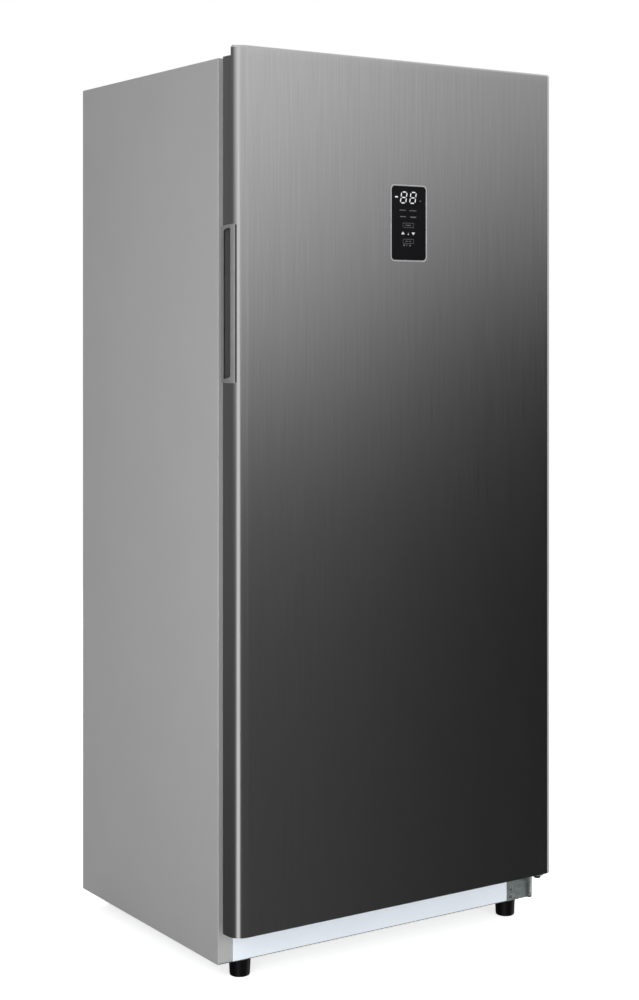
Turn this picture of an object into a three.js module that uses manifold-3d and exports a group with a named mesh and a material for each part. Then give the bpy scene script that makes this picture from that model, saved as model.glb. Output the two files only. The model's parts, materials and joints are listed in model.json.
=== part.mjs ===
// Upright freezer with one full-height brushed steel door: cabinet, door on its right-hand hinges,
// feet and rollers, shelves, basket and door bins, and the refrigeration parts it needs to work.
// Millimetres. X runs to the right as one faces the door, Y to the back, Z up from the floor.
import * as THREE from "three";
import { mergeVertices } from "three/addons/utils/BufferGeometryUtils.js";
import Module from "manifold-3d";

const wasm = await Module();
wasm.setup();

// ---- Driving dimensions ----
const width = 838;
const cabinetDepth = 624;
const cabinetHeight = 1860;
const footHeight = 36; // the cabinet's underside above the floor
const doorThickness = 51;
const sealGap = 17; // between the door's back and the cabinet's front
const doorBottomRise = 70; // the door's lower edge above the cabinet's underside
const lipRise = 21; // the door's front lip above the cabinet's top
const lipDepth = 21; // how far that lip runs back from the door's front
const cornerLeft = 32; // plan radius of the door's handle-side corner
const cornerRight = 16; // plan radius of its hinge-side corner

const gap = 0.3; // what touching pieces keep between them
const past = 9; // how far a cutting block runs past what it cuts
const sheet = 1.2; // steel sheet of the cabinet
const skin = 1; // steel sheet of the door
const linerWall = 2;
const insulation = 65; // cabinet wall from the outside to the inside of the liner
const flange = 42; // the cabinet's folded front flange
const sealWidth = 20;
const sealInset = 22; // the seal's outer edge from the door's edge

// ---- Planes that follow from them ----
const halfWidth = width / 2;
const doorFront = -(doorThickness + sealGap + cabinetDepth) / 2;
const doorRear = doorFront + doorThickness;
const cabinetFront = doorRear + sealGap;
const cabinetRear = cabinetFront + cabinetDepth;
const cabinetBottom = footHeight;
const cabinetTop = cabinetBottom + cabinetHeight;
const doorBottom = cabinetBottom + doorBottomRise;
const doorTop = cabinetTop + lipRise;
const lipRear = doorFront + lipDepth;

// The hinge axis stands 20 in from the right side and 40 in front of the cabinet.
const hingeX = halfWidth - 20;
const hingeY = cabinetFront - 40;
const pinRadius = 5;
const bushRadius = 8.3;
const notchStart = hingeX - 40; // right of here the lip is thin, so that it clears the hinge
const notchRear = doorFront + 8;

// The food space, and the step in its floor over the machine compartment.
const insideX = halfWidth - insulation;
const insideRear = cabinetRear - insulation;
const insideTop = cabinetTop - insulation;
const insideFloor = cabinetBottom + 136;
const stepFront = 40;
const stepTop = 362;
const bayFront = 98; // front wall of the machine compartment
const bayTop = 300;
const ductFront = insideRear - 65; // the evaporator cover stands this far forward
const shelfFront = -140;
const shelfLevels = [640, 900, 1160, 1420];
const railX = insideX - 8;
const binLevels = [300, 690, 1080, 1470];
const binRear = -178;

// The pocket handle in the door's left side, and the control panel in its front.
const handleBottom = cabinetBottom + 1200.6;
const handleTop = cabinetBottom + 1513.9;
const pocketFront = doorFront + 20;
const pocketRear = doorFront + 44;
const pocketBottom = handleBottom + 13;
const pocketTop = handleTop - 10;
const pocketInnerX = -halfWidth + 33;
const panelX = 15;
const panelZ = cabinetBottom + 1531.5;
const panelWidth = 97;
const panelHeight = 165;

// ---- Finishes ----
function finish(colour, roughness, metalness = 0) {
  return new THREE.MeshStandardMaterial({ color: colour, roughness, metalness });
}
const greyPaint = finish(0x9d9d9d, 0.5);
const whitePaint = finish(0xe2e8f0, 0.35);
const zincSteel = finish(0x7c8484, 0.45, 0.8);
const brightSteel = finish(0xb8babb, 0.3, 0.9);
const brushedSteel = finish(0x77787a, 0.35, 0.9);
const darkPlastic = finish(0x4a4b4d, 0.5);
const whitePlastic = finish(0xf0f1f2, 0.3);
const foam = finish(0xe6d9a8, 0.95);
const sealRubber = finish(0x8d8f91, 0.7);
const blackRubber = finish(0x0d0d0d, 0.6);
const satinSilver = finish(0x848586, 0.35, 0.6);
const blackGlass = finish(0x0c0c0f, 0.08);
const clearPlastic = finish(0xdfe9ee, 0.12);
const circuitGreen = finish(0x24503a, 0.6);
const copper = finish(0xb5714a, 0.35, 0.9);
const blackEnamel = finish(0x17181a, 0.35);
const bareAluminium = finish(0xa9adb1, 0.35, 0.8);

// ---- Solids ----
function solid(geometry) {
  const bare = geometry.clone();
  bare.deleteAttribute("normal");
  bare.deleteAttribute("uv");
  const merged = mergeVertices(bare, 1e-4);
  const vertProperties = new Float32Array(merged.attributes.position.array);
  const triVerts = new Uint32Array(merged.index.array);
  return new wasm.Manifold(new wasm.Mesh({ numProp: 3, vertProperties, triVerts }));
}

function geometryOf(shape) {
  const { vertProperties, triVerts } = shape.getMesh();
  const geometry = new THREE.BufferGeometry();
  geometry.setAttribute("position", new THREE.BufferAttribute(vertProperties, 3));
  geometry.setIndex(new THREE.BufferAttribute(triVerts, 1));
  const faceted = geometry.toNonIndexed();
  faceted.computeVertexNormals();
  return faceted;
}

function block(left, right, front, rear, bottom, top) {
  const box = new THREE.BoxGeometry(right - left, rear - front, top - bottom);
  return solid(box.translate((left + right) / 2, (front + rear) / 2, (bottom + top) / 2));
}

// A block that is alike on both sides of the middle plane.
function wide(halfX, front, rear, bottom, top) {
  return block(-halfX, halfX, front, rear, bottom, top);
}

function union(...shapes) {
  return shapes.reduce((whole, shape) => whole.add(shape));
}

// A round bar from one point to another, straight or tapered.
function bar(from, to, radius, sides = 20, endRadius = radius) {
  const start = new THREE.Vector3(...from);
  const end = new THREE.Vector3(...to);
  const along = end.clone().sub(start);
  const geometry = new THREE.CylinderGeometry(endRadius, radius, along.length(), sides);
  const up = new THREE.Vector3(0, 1, 0);
  geometry.applyQuaternion(new THREE.Quaternion().setFromUnitVectors(up, along.normalize()));
  const middle = start.add(end).multiplyScalar(0.5);
  return solid(geometry.translate(middle.x, middle.y, middle.z));
}

// A rectangle with its own radius at each corner: front left, front right, rear right, rear left.
function roundedOutline(left, right, front, rear, radii) {
  const [a, b, c, d] = radii;
  const outline = new THREE.Shape();
  const quarter = Math.PI / 2;
  outline.absarc(left + a, front + a, a, 2 * quarter, 3 * quarter);
  outline.absarc(right - b, front + b, b, 3 * quarter, 4 * quarter);
  outline.absarc(right - c, rear - c, c, 0, quarter);
  outline.absarc(left + d, rear - d, d, quarter, 2 * quarter);
  return outline;
}

// An outline drawn in plan and raised from one level to another, with its end edges rounded.
function raised(outline, bottom, top, edge = 0, segments = 6) {
  const geometry = new THREE.ExtrudeGeometry(outline, {
    depth: top - bottom - 2 * edge,
    curveSegments: segments,
    bevelEnabled: edge > 0,
    bevelThickness: edge,
    bevelSize: edge,
    bevelOffset: -edge,
    bevelSegments: 3,
  });
  return solid(geometry.translate(0, 0, bottom + edge));
}

// An outline drawn in the front view, its second direction up, and given a depth towards the back.
function upright(outline, front, rear, edge = 0) {
  const geometry = new THREE.ExtrudeGeometry(outline, {
    depth: rear - front - 2 * edge,
    curveSegments: 3,
    bevelEnabled: edge > 0,
    bevelThickness: edge,
    bevelSize: edge,
    bevelOffset: -edge,
    bevelSegments: 1,
  });
  geometry.rotateX(Math.PI / 2);
  return solid(geometry.translate(0, rear - edge, 0));
}

// A round tube along a smooth curve through the given points.
function tube(points, radius, steps) {
  const section = new THREE.Shape().absarc(0, 0, radius, 0, 2 * Math.PI);
  const path = new THREE.CatmullRomCurve3(points.map((point) => new THREE.Vector3(...point)));
  return new THREE.ExtrudeGeometry(section, { steps, curveSegments: 3, extrudePath: path });
}

// ---- Pieces ----
const freezer = new THREE.Group();
const cabinet = new THREE.Group();
const door = new THREE.Group();
freezer.add(cabinet, door);

function piece(parent, name, shape, material) {
  const geometry = shape.isBufferGeometry ? shape : geometryOf(shape);
  const mesh = new THREE.Mesh(geometry, material);
  mesh.name = name;
  parent.add(mesh);
  return mesh;
}

// ---- Cabinet body ----

// One folded sheet: both sides, the top and a front flange turned inwards.
function outerShell() {
  const fold = 3;
  const rearFold = 2.5;
  const plan = roundedOutline(
    -halfWidth, halfWidth, cabinetFront, cabinetRear, [fold, fold, rearFold, rearFold]
  );
  const whole = raised(plan, cabinetBottom - past, cabinetTop, 2);
  const hollow = wide(
    halfWidth - sheet, cabinetFront + sheet, cabinetRear + past, 0, cabinetTop - sheet
  );
  const mouth = wide(halfWidth - flange, cabinetFront - past, cabinetRear, 0, cabinetTop - flange);
  const below = wide(width, cabinetFront - past, cabinetRear + past, 0, cabinetBottom);
  return whole.subtract(union(hollow, mouth, below));
}

// The steel back, stiffened by three pressed ribs.
function backPanel() {
  const edgeX = halfWidth - sheet - gap;
  const face = cabinetRear - 1.3;
  const ribX = edgeX - 87.5;
  const ribHeight = 24;
  const ribProud = 1;
  let panel = wide(edgeX, face - sheet, face, bayTop + 1.5, cabinetTop - sheet - gap);
  for (const level of [700, 1100, 1500]) {
    panel = panel.add(wide(ribX, face - 0.2, face + ribProud, level, level + ribHeight));
  }
  return panel;
}

// Steel tray under the cabinet, with the front upstand that the seal closes on, low side walls
// and two pairs of ears that carry the rear rollers.
const rollerX = halfWidth - 65;
const rollerY = cabinetRear - 41;
const rollerRadius = 15;
const rollerHalf = 11;
const axleRadius = 4;
const upstandTop = insideFloor - 22.3;
const footX = halfWidth - 64.5;
const footY = cabinetFront + 21;
const studRadius = 5;
const bracketScrewX = halfWidth - 67;
const bracketScrewLevels = [64, 47.5];
const screwHole = 3.1;
const nubX = halfWidth - 36.5;
const nubY = footY - 9;

function baseTray() {
  const edgeX = halfWidth - sheet - gap;
  const upstandX = halfWidth - flange - gap;
  const plateTop = cabinetBottom + sheet;
  const wallHeight = 34;
  const earHalf = 13;
  const earBottom = 4;
  const across = 30;
  let tray = union(
    wide(edgeX, cabinetFront + 1.5, cabinetRear - 3, cabinetBottom, plateTop),
    wide(upstandX, cabinetFront, cabinetFront + sheet, cabinetBottom, upstandTop),
    wide(upstandX, cabinetFront, cabinetFront + 3, cabinetBottom, plateTop)
  );
  for (const side of [-1, 1]) {
    const wallX = side * (edgeX - sheet / 2);
    tray = tray.add(
      block(wallX - sheet / 2, wallX + sheet / 2, cabinetFront + 2, cabinetRear - 3,
        cabinetBottom, cabinetBottom + wallHeight)
    );
    for (const ear of [-1, 1]) {
      const earX = side * rollerX + ear * (rollerHalf + 3);
      tray = tray.add(
        block(earX - 1, earX + 1, rollerY - earHalf, rollerY + earHalf, earBottom, plateTop)
      );
    }
    const axleHole = bar(
      [side * rollerX - across, rollerY, rollerRadius],
      [side * rollerX + across, rollerY, rollerRadius],
      axleRadius + 0.4, 16
    );
    const studHole = bar(
      [side * footX, footY, 0], [side * footX, footY, plateTop + past], studRadius + 0.6
    );
    tray = tray.subtract(union(axleHole, studHole));
  }
  for (const level of bracketScrewLevels) {
    tray = tray.subtract(
      bar([bracketScrewX, cabinetFront - past, level], [bracketScrewX, cabinetFront + past, level],
        screwHole, 12)
    );
  }
  return tray.subtract(bar([nubX, nubY, 0], [nubX, nubY, plateTop + past], screwHole, 10));
}

// Sheet that closes the machine compartment against the insulation.
function compartmentShroud() {
  const edgeX = halfWidth - 3;
  return union(
    wide(edgeX, bayFront, bayFront + sheet, cabinetBottom + sheet + gap, bayTop),
    wide(edgeX, bayFront, cabinetRear - 3, bayTop - sheet, bayTop)
  );
}

const inletX = 300;
const inletZ = 78;
const inletHalfX = 15;
const inletHalfZ = 12;

function rearCompartmentCover() {
  const front = cabinetRear - 2.5;
  const rear = cabinetRear - 0.5;
  let cover = wide(halfWidth - sheet - gap, front, rear, cabinetBottom + 2, bayTop + 1.2);
  const slotPitch = 84;
  const slotHalf = 32;
  const slotHalfHeight = 5;
  for (let column = -4; column <= 4; column += 1) {
    const x = column * slotPitch;
    for (const level of [140, 195, 250]) {
      cover = cover.subtract(
        block(x - slotHalf, x + slotHalf, front - past, rear + past,
          level - slotHalfHeight, level + slotHalfHeight)
      );
    }
  }
  const holeX = inletHalfX + gap;
  const holeZ = inletHalfZ + gap;
  return cover.subtract(
    block(inletX - holeX, inletX + holeX, front - past, rear + past, inletZ - holeZ, inletZ + holeZ)
  );
}

// Moulded food liner: walls, stepped floor, front lip, and the rails that carry the shelves.
function innerLiner() {
  const wall = linerWall;
  const outside = union(
    wide(insideX + wall, cabinetFront, insideRear + wall, stepTop - wall, insideTop + wall),
    wide(insideX + wall, cabinetFront, stepFront + wall, insideFloor - wall, stepTop),
    wide(halfWidth - flange - gap, cabinetFront, cabinetFront + wall,
      upstandTop + gap, cabinetTop - flange - gap)
  );
  const inside = union(
    wide(insideX, cabinetFront - past, insideRear, stepTop, insideTop),
    wide(insideX, cabinetFront - past, stepFront, insideFloor, stepTop + past)
  );
  let liner = outside.subtract(inside);
  for (const side of [-1, 1]) {
    const low = Math.min(side * railX, side * (insideX + 1));
    const high = Math.max(side * railX, side * (insideX + 1));
    for (const level of shelfLevels) {
      liner = liner.add(
        block(low, high, shelfFront + 3, ductFront - 4, level - 10, level - gap)
      );
    }
    liner = liner.add(
      block(low, high, shelfFront - 8, stepFront + 1, stepTop - 12, stepTop)
    );
  }
  return liner;
}

function cabinetInsulation() {
  const edgeX = halfWidth - sheet - gap;
  const holeX = insideX + linerWall + gap;
  const front = cabinetFront + linerWall + gap;
  const whole = wide(edgeX, front, cabinetRear - 2.8, 100, cabinetTop - sheet - gap);
  const outOfLiner = linerWall + gap;
  return whole.subtract(
    union(
      wide(holeX, front - past, insideRear + outOfLiner,
        stepTop - outOfLiner, insideTop + outOfLiner),
      wide(holeX, front - past, stepFront + outOfLiner, insideFloor - outOfLiner, stepTop),
      wide(width, bayFront - gap, cabinetRear + past, 0, bayTop + gap)
    )
  );
}

// ---- Front of the base: kick plate, lower hinge and its fasteners ----
const bracketLeft = halfWidth - 78.5;
const bracketRight = halfWidth - 9.5;
const bracketFront = cabinetFront - 3.3;
const armTop = doorBottom - 5;
const armBottom = armTop - 3;

function kickPlate() {
  const left = -halfWidth + 34;
  const right = bracketLeft - 0.5;
  const face = roundedOutline(left, right, cabinetBottom + 2.5, doorBottom + 6, [2, 2, 2, 2]);
  const pan = upright(face, cabinetFront - 3.3, cabinetFront - gap, 0.8);
  return pan.subtract(
    block(left + 1.5, right - 1.5, cabinetFront - 1.8, cabinetFront + past,
      cabinetBottom + 4, doorBottom + 4.5)
  );
}

function lowerHingeBracket() {
  const armLeft = hingeX - 13;
  const eyeRadius = 14;
  const plate = block(
    bracketLeft, bracketRight, bracketFront, cabinetFront - gap, cabinetBottom + 1, armTop
  );
  const arm = block(armLeft, hingeX + 10, hingeY, cabinetFront - gap, armBottom, armTop);
  const eye = bar([hingeX, hingeY, armBottom], [hingeX, hingeY, armTop], eyeRadius, 24);
  const gusset = block(
    armLeft, armLeft + 3, cabinetFront - 26, bracketFront + 1, armBottom - 20, armBottom + 1
  );
  let bracket = union(plate, arm, eye, gusset);
  for (const level of bracketScrewLevels) {
    bracket = bracket.subtract(
      bar([bracketScrewX, bracketFront - past, level], [bracketScrewX, cabinetFront, level],
        screwHole, 12)
    );
  }
  return bracket.subtract(
    bar([hingeX, hingeY, 0], [hingeX, hingeY, cabinetTop], pinRadius + 0.35)
  );
}

function lowerHingePin() {
  return union(
    bar([hingeX, hingeY, armBottom - 4], [hingeX, hingeY, doorBottom + 20], pinRadius),
    bar([hingeX, hingeY, armBottom - 7], [hingeX, hingeY, armBottom - gap], 8, 6)
  );
}

// Upright threaded screw that sets the bracket's height.
function hingeAdjustingScrew() {
  const x = bracketRight - 9;
  const y = bracketFront - 6.8;
  return union(
    bar([x, y, cabinetBottom + 3], [x, y, armBottom - gap], 4.4, 14),
    bar([x, y, cabinetBottom + 3], [x, y, cabinetBottom + 8], 6.2, 6)
  );
}

function bracketScrew(level) {
  const head = bracketFront - gap;
  return union(
    bar([bracketScrewX, head, level], [bracketScrewX, cabinetFront + 11, level], 2.7, 12),
    bar([bracketScrewX, head - 2.4, level], [bracketScrewX, head, level], 4.2, 14, 5.4)
  );
}

// The small dark screw head that shows under the cabinet beside the right foot.
function undersideScrew() {
  return union(
    bar([nubX, nubY, cabinetBottom - 4.5], [nubX, nubY, cabinetBottom - gap], 5, 14),
    bar([nubX, nubY, cabinetBottom - 1], [nubX, nubY, cabinetBottom + 14], 2.7, 10)
  );
}

// ---- Top hinge ----
const topPlateBottom = cabinetTop + gap;
const topPlateTop = topPlateBottom + 3;

function topHingePlate() {
  const base = roundedOutline(hingeX - 54, hingeX + 9, cabinetFront + 4, cabinetFront + 88,
    [6, 6, 6, 6]);
  const plate = union(
    raised(base, topPlateBottom, topPlateTop, 0, 3),
    block(hingeX - 20, hingeX - 1, hingeY, cabinetFront + 12, topPlateBottom, topPlateTop),
    bar([hingeX, hingeY, topPlateBottom], [hingeX, hingeY, topPlateTop], 14, 24)
  );
  return plate.subtract(
    bar([hingeX, hingeY, 0], [hingeX, hingeY, doorTop], pinRadius + 0.35)
  );
}

function topHingePin() {
  return union(
    bar([hingeX, hingeY, cabinetTop - 14], [hingeX, hingeY, topPlateTop + 1], pinRadius),
    bar([hingeX, hingeY, topPlateTop + gap], [hingeX, hingeY, topPlateTop + 3], 8, 16)
  );
}

function topHingeCover() {
  const top = cabinetTop + 16;
  function form(inset, level) {
    const base = roundedOutline(
      hingeX - 59 + inset, hingeX + 14 - inset, cabinetFront + 1 + inset, cabinetFront + 95 - inset,
      [8, 8, 8, 8]
    );
    return union(
      raised(base, topPlateBottom - inset, level, 0, 4),
      block(hingeX - 23 + inset, hingeX + 2 - inset, hingeY, cabinetFront + 14,
        topPlateBottom - inset, level),
      bar([hingeX, hingeY, topPlateBottom - inset], [hingeX, hingeY, level], 18 - inset, 24)
    );
  }
  return form(0, top).subtract(form(2, top - 2));
}

// ---- Feet and rollers ----

// A tapered plastic foot on a threaded stud, drawn with its underside at the origin.
function levellingFoot() {
  const profile = [
    [0, 0], [18.5, 0], [20.6, 0.8], [21.3, 3], [23, cabinetBottom - gap],
    [studRadius, cabinetBottom - gap], [studRadius, 74], [0, 74],
  ].map(([radius, level]) => new THREE.Vector2(radius, level));
  const foot = new THREE.LatheGeometry(profile, 28);
  return solid(foot.rotateX(Math.PI / 2));
}

// A roller on the X axis with its middle at the origin.
function roller() {
  const tread = bar([-rollerHalf, 0, 0], [rollerHalf, 0, 0], rollerRadius, 24);
  return tread.subtract(bar([-20, 0, 0], [20, 0, 0], axleRadius + 0.5, 16));
}

function rollerAxle(side) {
  return union(
    bar([-rollerHalf - 6, 0, 0], [rollerHalf + 6, 0, 0], axleRadius, 16),
    bar([side * (rollerHalf + 4.4), 0, 0], [side * (rollerHalf + 6.5), 0, 0], 6.5, 16)
  );
}

// ---- Machine compartment ----
const trayTop = cabinetBottom + sheet;
const compressorX = -230;
const compressorY = 225;

// Welded steel pot on a base plate with four rubber-bushed legs.
function compressor() {
  const profile = [
    [0, 60], [60, 60], [72, 68], [77, 84], [78, 140], [77, 196], [68, 220], [45, 234], [0, 238],
  ].map(([radius, level]) => new THREE.Vector2(radius, level));
  const pot = solid(new THREE.LatheGeometry(profile, 24).rotateX(Math.PI / 2))
    .translate([compressorX, compressorY, 0]);
  const plateHalfX = 100;
  const plateHalfY = 62;
  const legInset = 12;
  let whole = pot.add(
    block(compressorX - plateHalfX, compressorX + plateHalfX,
      compressorY - plateHalfY, compressorY + plateHalfY, 56, 61)
  );
  for (const [sideX, sideY] of [[-1, -1], [1, -1], [-1, 1], [1, 1]]) {
    const legX = compressorX + sideX * (plateHalfX - legInset);
    const legY = compressorY + sideY * (plateHalfY - legInset);
    whole = whole.add(bar([legX, legY, trayTop + gap], [legX, legY, 58], 10, 12));
  }
  const suctionStub = bar(
    [compressorX + 60, compressorY, 200], [compressorX + 92, compressorY, 200], 5, 10
  );
  const dischargeStub = bar(
    [compressorX, compressorY - 60, 180], [compressorX, compressorY - 92, 180], 4, 10
  );
  return union(whole, suctionStub, dischargeStub);
}

const coilLeft = 120;
const coilRight = 330;
const coilY = 160;
const coilPitch = 24;
const coilRows = 8;
const coilTop = 268;

// One long tube folded to and fro, with its inlet at the upper left.
function condenser() {
  const tubeRadius = 4;
  const bend = new THREE.Shape().absarc(0, 0, tubeRadius, 0, 2 * Math.PI);
  let coil = bar([coilLeft - 12, coilY, coilTop], [coilRight, coilY, coilTop], tubeRadius, 6);
  for (let row = 1; row < coilRows; row += 1) {
    const level = coilTop - row * coilPitch;
    coil = coil.add(bar([coilLeft, coilY, level], [coilRight, coilY, level], tubeRadius, 6));
    const outward = row % 2 === 1 ? 1 : -1;
    const centre = new THREE.Vector3(
      outward === 1 ? coilRight : coilLeft, coilY, level + coilPitch / 2
    );
    const turns = [0, 0.25, 0.5, 0.75, 1].map((share) => {
      const angle = Math.PI * (0.5 - share);
      const reach = coilPitch / 2;
      return new THREE.Vector3(
        centre.x + outward * reach * Math.cos(angle), centre.y, centre.z + reach * Math.sin(angle)
      );
    });
    const path = new THREE.CatmullRomCurve3(turns);
    coil = coil.add(
      solid(new THREE.ExtrudeGeometry(bend, { steps: 4, curveSegments: 3, extrudePath: path }))
    );
  }
  const bracketBottom = trayTop + gap;
  return coil.add(
    block(coilLeft + 90, coilLeft + 94, coilY - 7, coilY + 7, bracketBottom, coilTop + 8)
  );
}

// A fan on the Z axis, its hub's back at the origin.
function fan(radius, hubRadius, depth, blades) {
  let wheel = bar([0, 0, 0], [0, 0, depth], hubRadius, 16);
  for (let blade = 0; blade < blades; blade += 1) {
    const reach = radius - hubRadius + 4;
    const vane = new THREE.BoxGeometry(reach, depth * 1.15, 2.5);
    vane.rotateX(Math.PI / 5);
    vane.translate(hubRadius - 4 + reach / 2, 0, depth / 2);
    vane.rotateZ((blade * 2 * Math.PI) / blades);
    wheel = wheel.add(solid(vane));
  }
  return wheel;
}

const coolingFanX = 60;
const coolingFanY = 190;
const coolingFanZ = 165;

function condenserFanMotor() {
  const motor = bar(
    [coolingFanX - 60, coolingFanY, coolingFanZ], [coolingFanX - gap, coolingFanY, coolingFanZ], 26
  );
  const leg = block(
    coolingFanX - 42, coolingFanX - 38, coolingFanY - 22, coolingFanY + 22,
    trayTop + gap, coolingFanZ
  );
  return union(motor, leg);
}

function drainPan() {
  const wall = 2;
  const left = coilLeft + 110;
  const right = coilRight + 40;
  const front = bayFront + 90;
  const rear = cabinetRear - 20;
  const bottom = trayTop + gap;
  const top = 64;
  return block(left, right, front, rear, bottom, top).subtract(
    block(left + wall, right - wall, front + wall, rear - wall, bottom + wall, top + past)
  );
}

function powerInlet() {
  const cover = cabinetRear - 2.5;
  const body = block(inletX - inletHalfX, inletX + inletHalfX, cover - 18, cabinetRear - 0.5,
    inletZ - inletHalfZ, inletZ + inletHalfZ);
  const rim = block(inletX - inletHalfX - 7, inletX + inletHalfX + 7, cover - 3, cover - gap,
    inletZ - inletHalfZ - 3, inletZ + inletHalfZ + 3);
  const socketX = inletHalfX - 3;
  const socketZ = inletHalfZ - 3;
  const socket = block(inletX - socketX, inletX + socketX, cover - 14, cabinetRear + past,
    inletZ - socketZ, inletZ + socketZ);
  return union(body, rim).subtract(socket);
}

// Closed box on the left wall, its lid a little wider than itself.
function controlBoardBox() {
  const left = -halfWidth + 18;
  const right = left + 60;
  const front = 130;
  const rear = 240;
  const lidEdge = 3;
  const box = block(left, right, front, rear, 120, 250);
  const lid = block(left - lidEdge, right + lidEdge, front - lidEdge, rear + lidEdge, 246, 262);
  return union(box, lid);
}

// ---- Cooling parts behind the evaporator cover ----
const ductTop = insideTop - gap;
const coolerY = insideRear - 32;
const coolerFanZ = 760;

function evaporatorCover() {
  const edgeX = insideX - 2;
  const rear = insideRear - gap;
  let cover = wide(edgeX, ductFront, rear, stepTop + gap, ductTop);
  cover = cover.subtract(
    wide(edgeX - 3, ductFront + 3, rear + past, stepTop + 3, ductTop - 3)
  );
  const outletLevels = [560, ...shelfLevels.map((level) => level + 190)];
  for (const level of outletLevels) {
    for (const x of [-190, 0, 190]) {
      cover = cover.subtract(
        block(x - 55, x + 55, ductFront - past, ductFront + past, level - 6, level + 6)
      );
    }
  }
  const returnPitch = 50;
  for (let slot = -5; slot <= 5; slot += 1) {
    const x = slot * returnPitch;
    cover = cover.subtract(
      block(x - 15, x + 15, ductFront - past, ductFront + past, stepTop + 16, stepTop + 36)
    );
  }
  return cover;
}

function evaporator() {
  const finsX = 240;
  const finsHalfDepth = 24;
  const tubeRadius = 4;
  const tubeX = finsX + 18;
  const bendX = tubeX - 2;
  const rows = [455, 510, 565, 620];
  let coil = wide(finsX, coolerY - finsHalfDepth, coolerY + finsHalfDepth, 430, 650);
  rows.forEach((level, row) => {
    coil = coil.add(bar([-tubeX, coolerY, level], [tubeX, coolerY, level], tubeRadius, 8));
    if (row > 0) {
      const x = row % 2 === 1 ? bendX : -bendX;
      coil = coil.add(bar([x, coolerY, rows[row - 1]], [x, coolerY, level], tubeRadius, 8));
    }
  });
  return coil;
}

function evaporatorFanMotor() {
  const rear = insideRear - 1;
  return union(
    bar([0, rear, coolerFanZ], [0, rear - 20, coolerFanZ], 27),
    wide(80, rear - 3, rear, coolerFanZ - 12, coolerFanZ + 12)
  );
}

// A heating rod under the evaporator with a rubber end at each side.
function defrostHeater() {
  const rodX = 225;
  const endX = 245;
  const level = 408;
  return union(
    bar([-rodX, coolerY, level], [rodX, coolerY, level], 4.5, 10),
    bar([-endX, coolerY, level], [-rodX, coolerY, level], 8, 10),
    bar([rodX, coolerY, level], [endX, coolerY, level], 8, 10)
  );
}

// ---- Shelves, basket and lamp ----

// A glass shelf with a moulded edge in front and behind, its glass underside at the origin's level.
function shelf() {
  const rear = ductFront - 0.6;
  return union(
    wide(insideX - 0.6, shelfFront, rear, 0, 5),
    wide(railX - 1, shelfFront - 3, shelfFront + 9, -8, 8),
    wide(railX - 1, rear - 9, rear, -5, 12)
  );
}

// A lift-out basket that rests on the step of the floor and on two moulded rails.
function storageBasket() {
  const wall = 3;
  const halfX = insideX - 11;
  const front = shelfFront - 10;
  const rear = ductFront - 3;
  const bottom = stepTop + gap;
  const top = 550;
  return wide(halfX, front, rear, bottom, top).subtract(
    wide(halfX - wall, front + wall, rear - wall, bottom + wall, top + past)
  );
}

function interiorLamp() {
  const lens = roundedOutline(-70, 70, cabinetFront + 60, cabinetFront + 90, [6, 6, 6, 6]);
  return raised(lens, insideTop - 9, insideTop - gap, 0, 3);
}

// ---- Door ----
function doorPlan(inset) {
  return roundedOutline(
    -halfWidth + inset, halfWidth - inset, doorFront + inset, doorRear - inset,
    [cornerLeft - inset, cornerRight - inset, 3 - inset / 2, 3 - inset / 2]
  );
}

// The door's outer form, or the same form smaller all round by inset: a body up to the cabinet's
// top, and the lip that rises in front of it with its upper edge rounded.
function doorForm(inset, bottom, top, edge) {
  const lipPlan = roundedOutline(
    -halfWidth + inset, halfWidth - inset, doorFront + inset, doorRear,
    [cornerLeft - inset, cornerRight - inset, 8, 8]
  );
  const lip = raised(lipPlan, cabinetTop - 20, top, edge).intersect(
    wide(width, doorFront - past, lipRear + 4, cabinetTop - 30, top + past)
  );
  return raised(doorPlan(inset), bottom, cabinetTop).add(lip);
}

// What is cut away above the cabinet's top so that only the lip rises there.
function aboveShoulder(slack) {
  return union(
    block(-width, notchStart - slack, lipRear - slack, doorRear + past,
      cabinetTop - slack, doorTop + past),
    block(notchStart - slack - 1, width, notchRear - slack, doorRear + past,
      cabinetTop - slack, doorTop + past)
  );
}

function panelOutline(inset) {
  const radius = 7 - inset * 0.6;
  return roundedOutline(
    panelX - panelWidth / 2 + inset, panelX + panelWidth / 2 - inset,
    panelZ - panelHeight / 2 + inset, panelZ + panelHeight / 2 - inset,
    [radius, radius, radius, radius]
  );
}

// The folded steel skin: front, both sides, narrow back returns and the top of the lip.
function doorSkin() {
  const whole = doorForm(0, doorBottom, doorTop, 5);
  const hollow = doorForm(skin, doorBottom - past, doorTop - skin, 4).add(
    wide(halfWidth - skin - 3, lipRear, doorRear - skin, cabinetTop - past, cabinetTop + past)
  );
  const backOpening = wide(halfWidth - 14, doorRear - 2, doorRear + past, 0, doorTop);
  const pocket = block(
    -width, -halfWidth + 20, pocketFront - 1, pocketRear + 1, pocketBottom - 1.5, pocketTop + 1.5
  );
  const panelHole = upright(panelOutline(1.7), doorFront - past, doorFront + past);
  return whole.subtract(
    union(hollow, backOpening, pocket, aboveShoulder(0), panelHole)
  );
}

const capInset = skin + gap;
const linerBottom = doorBottom + 14;
const linerTop = cabinetTop - 14;
const linerFace = doorRear - 2.5; // front face of the door liner's flat sheet

function capRelief() {
  return union(
    wide(width, linerFace - gap, doorRear + past, linerBottom - gap, linerTop + gap),
    bar([hingeX, hingeY, linerTop - 6], [hingeX, hingeY, doorTop], bushRadius + gap),
    bar([hingeX, hingeY, 0], [hingeX, hingeY, doorBottom + 22], bushRadius + gap)
  );
}

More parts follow.
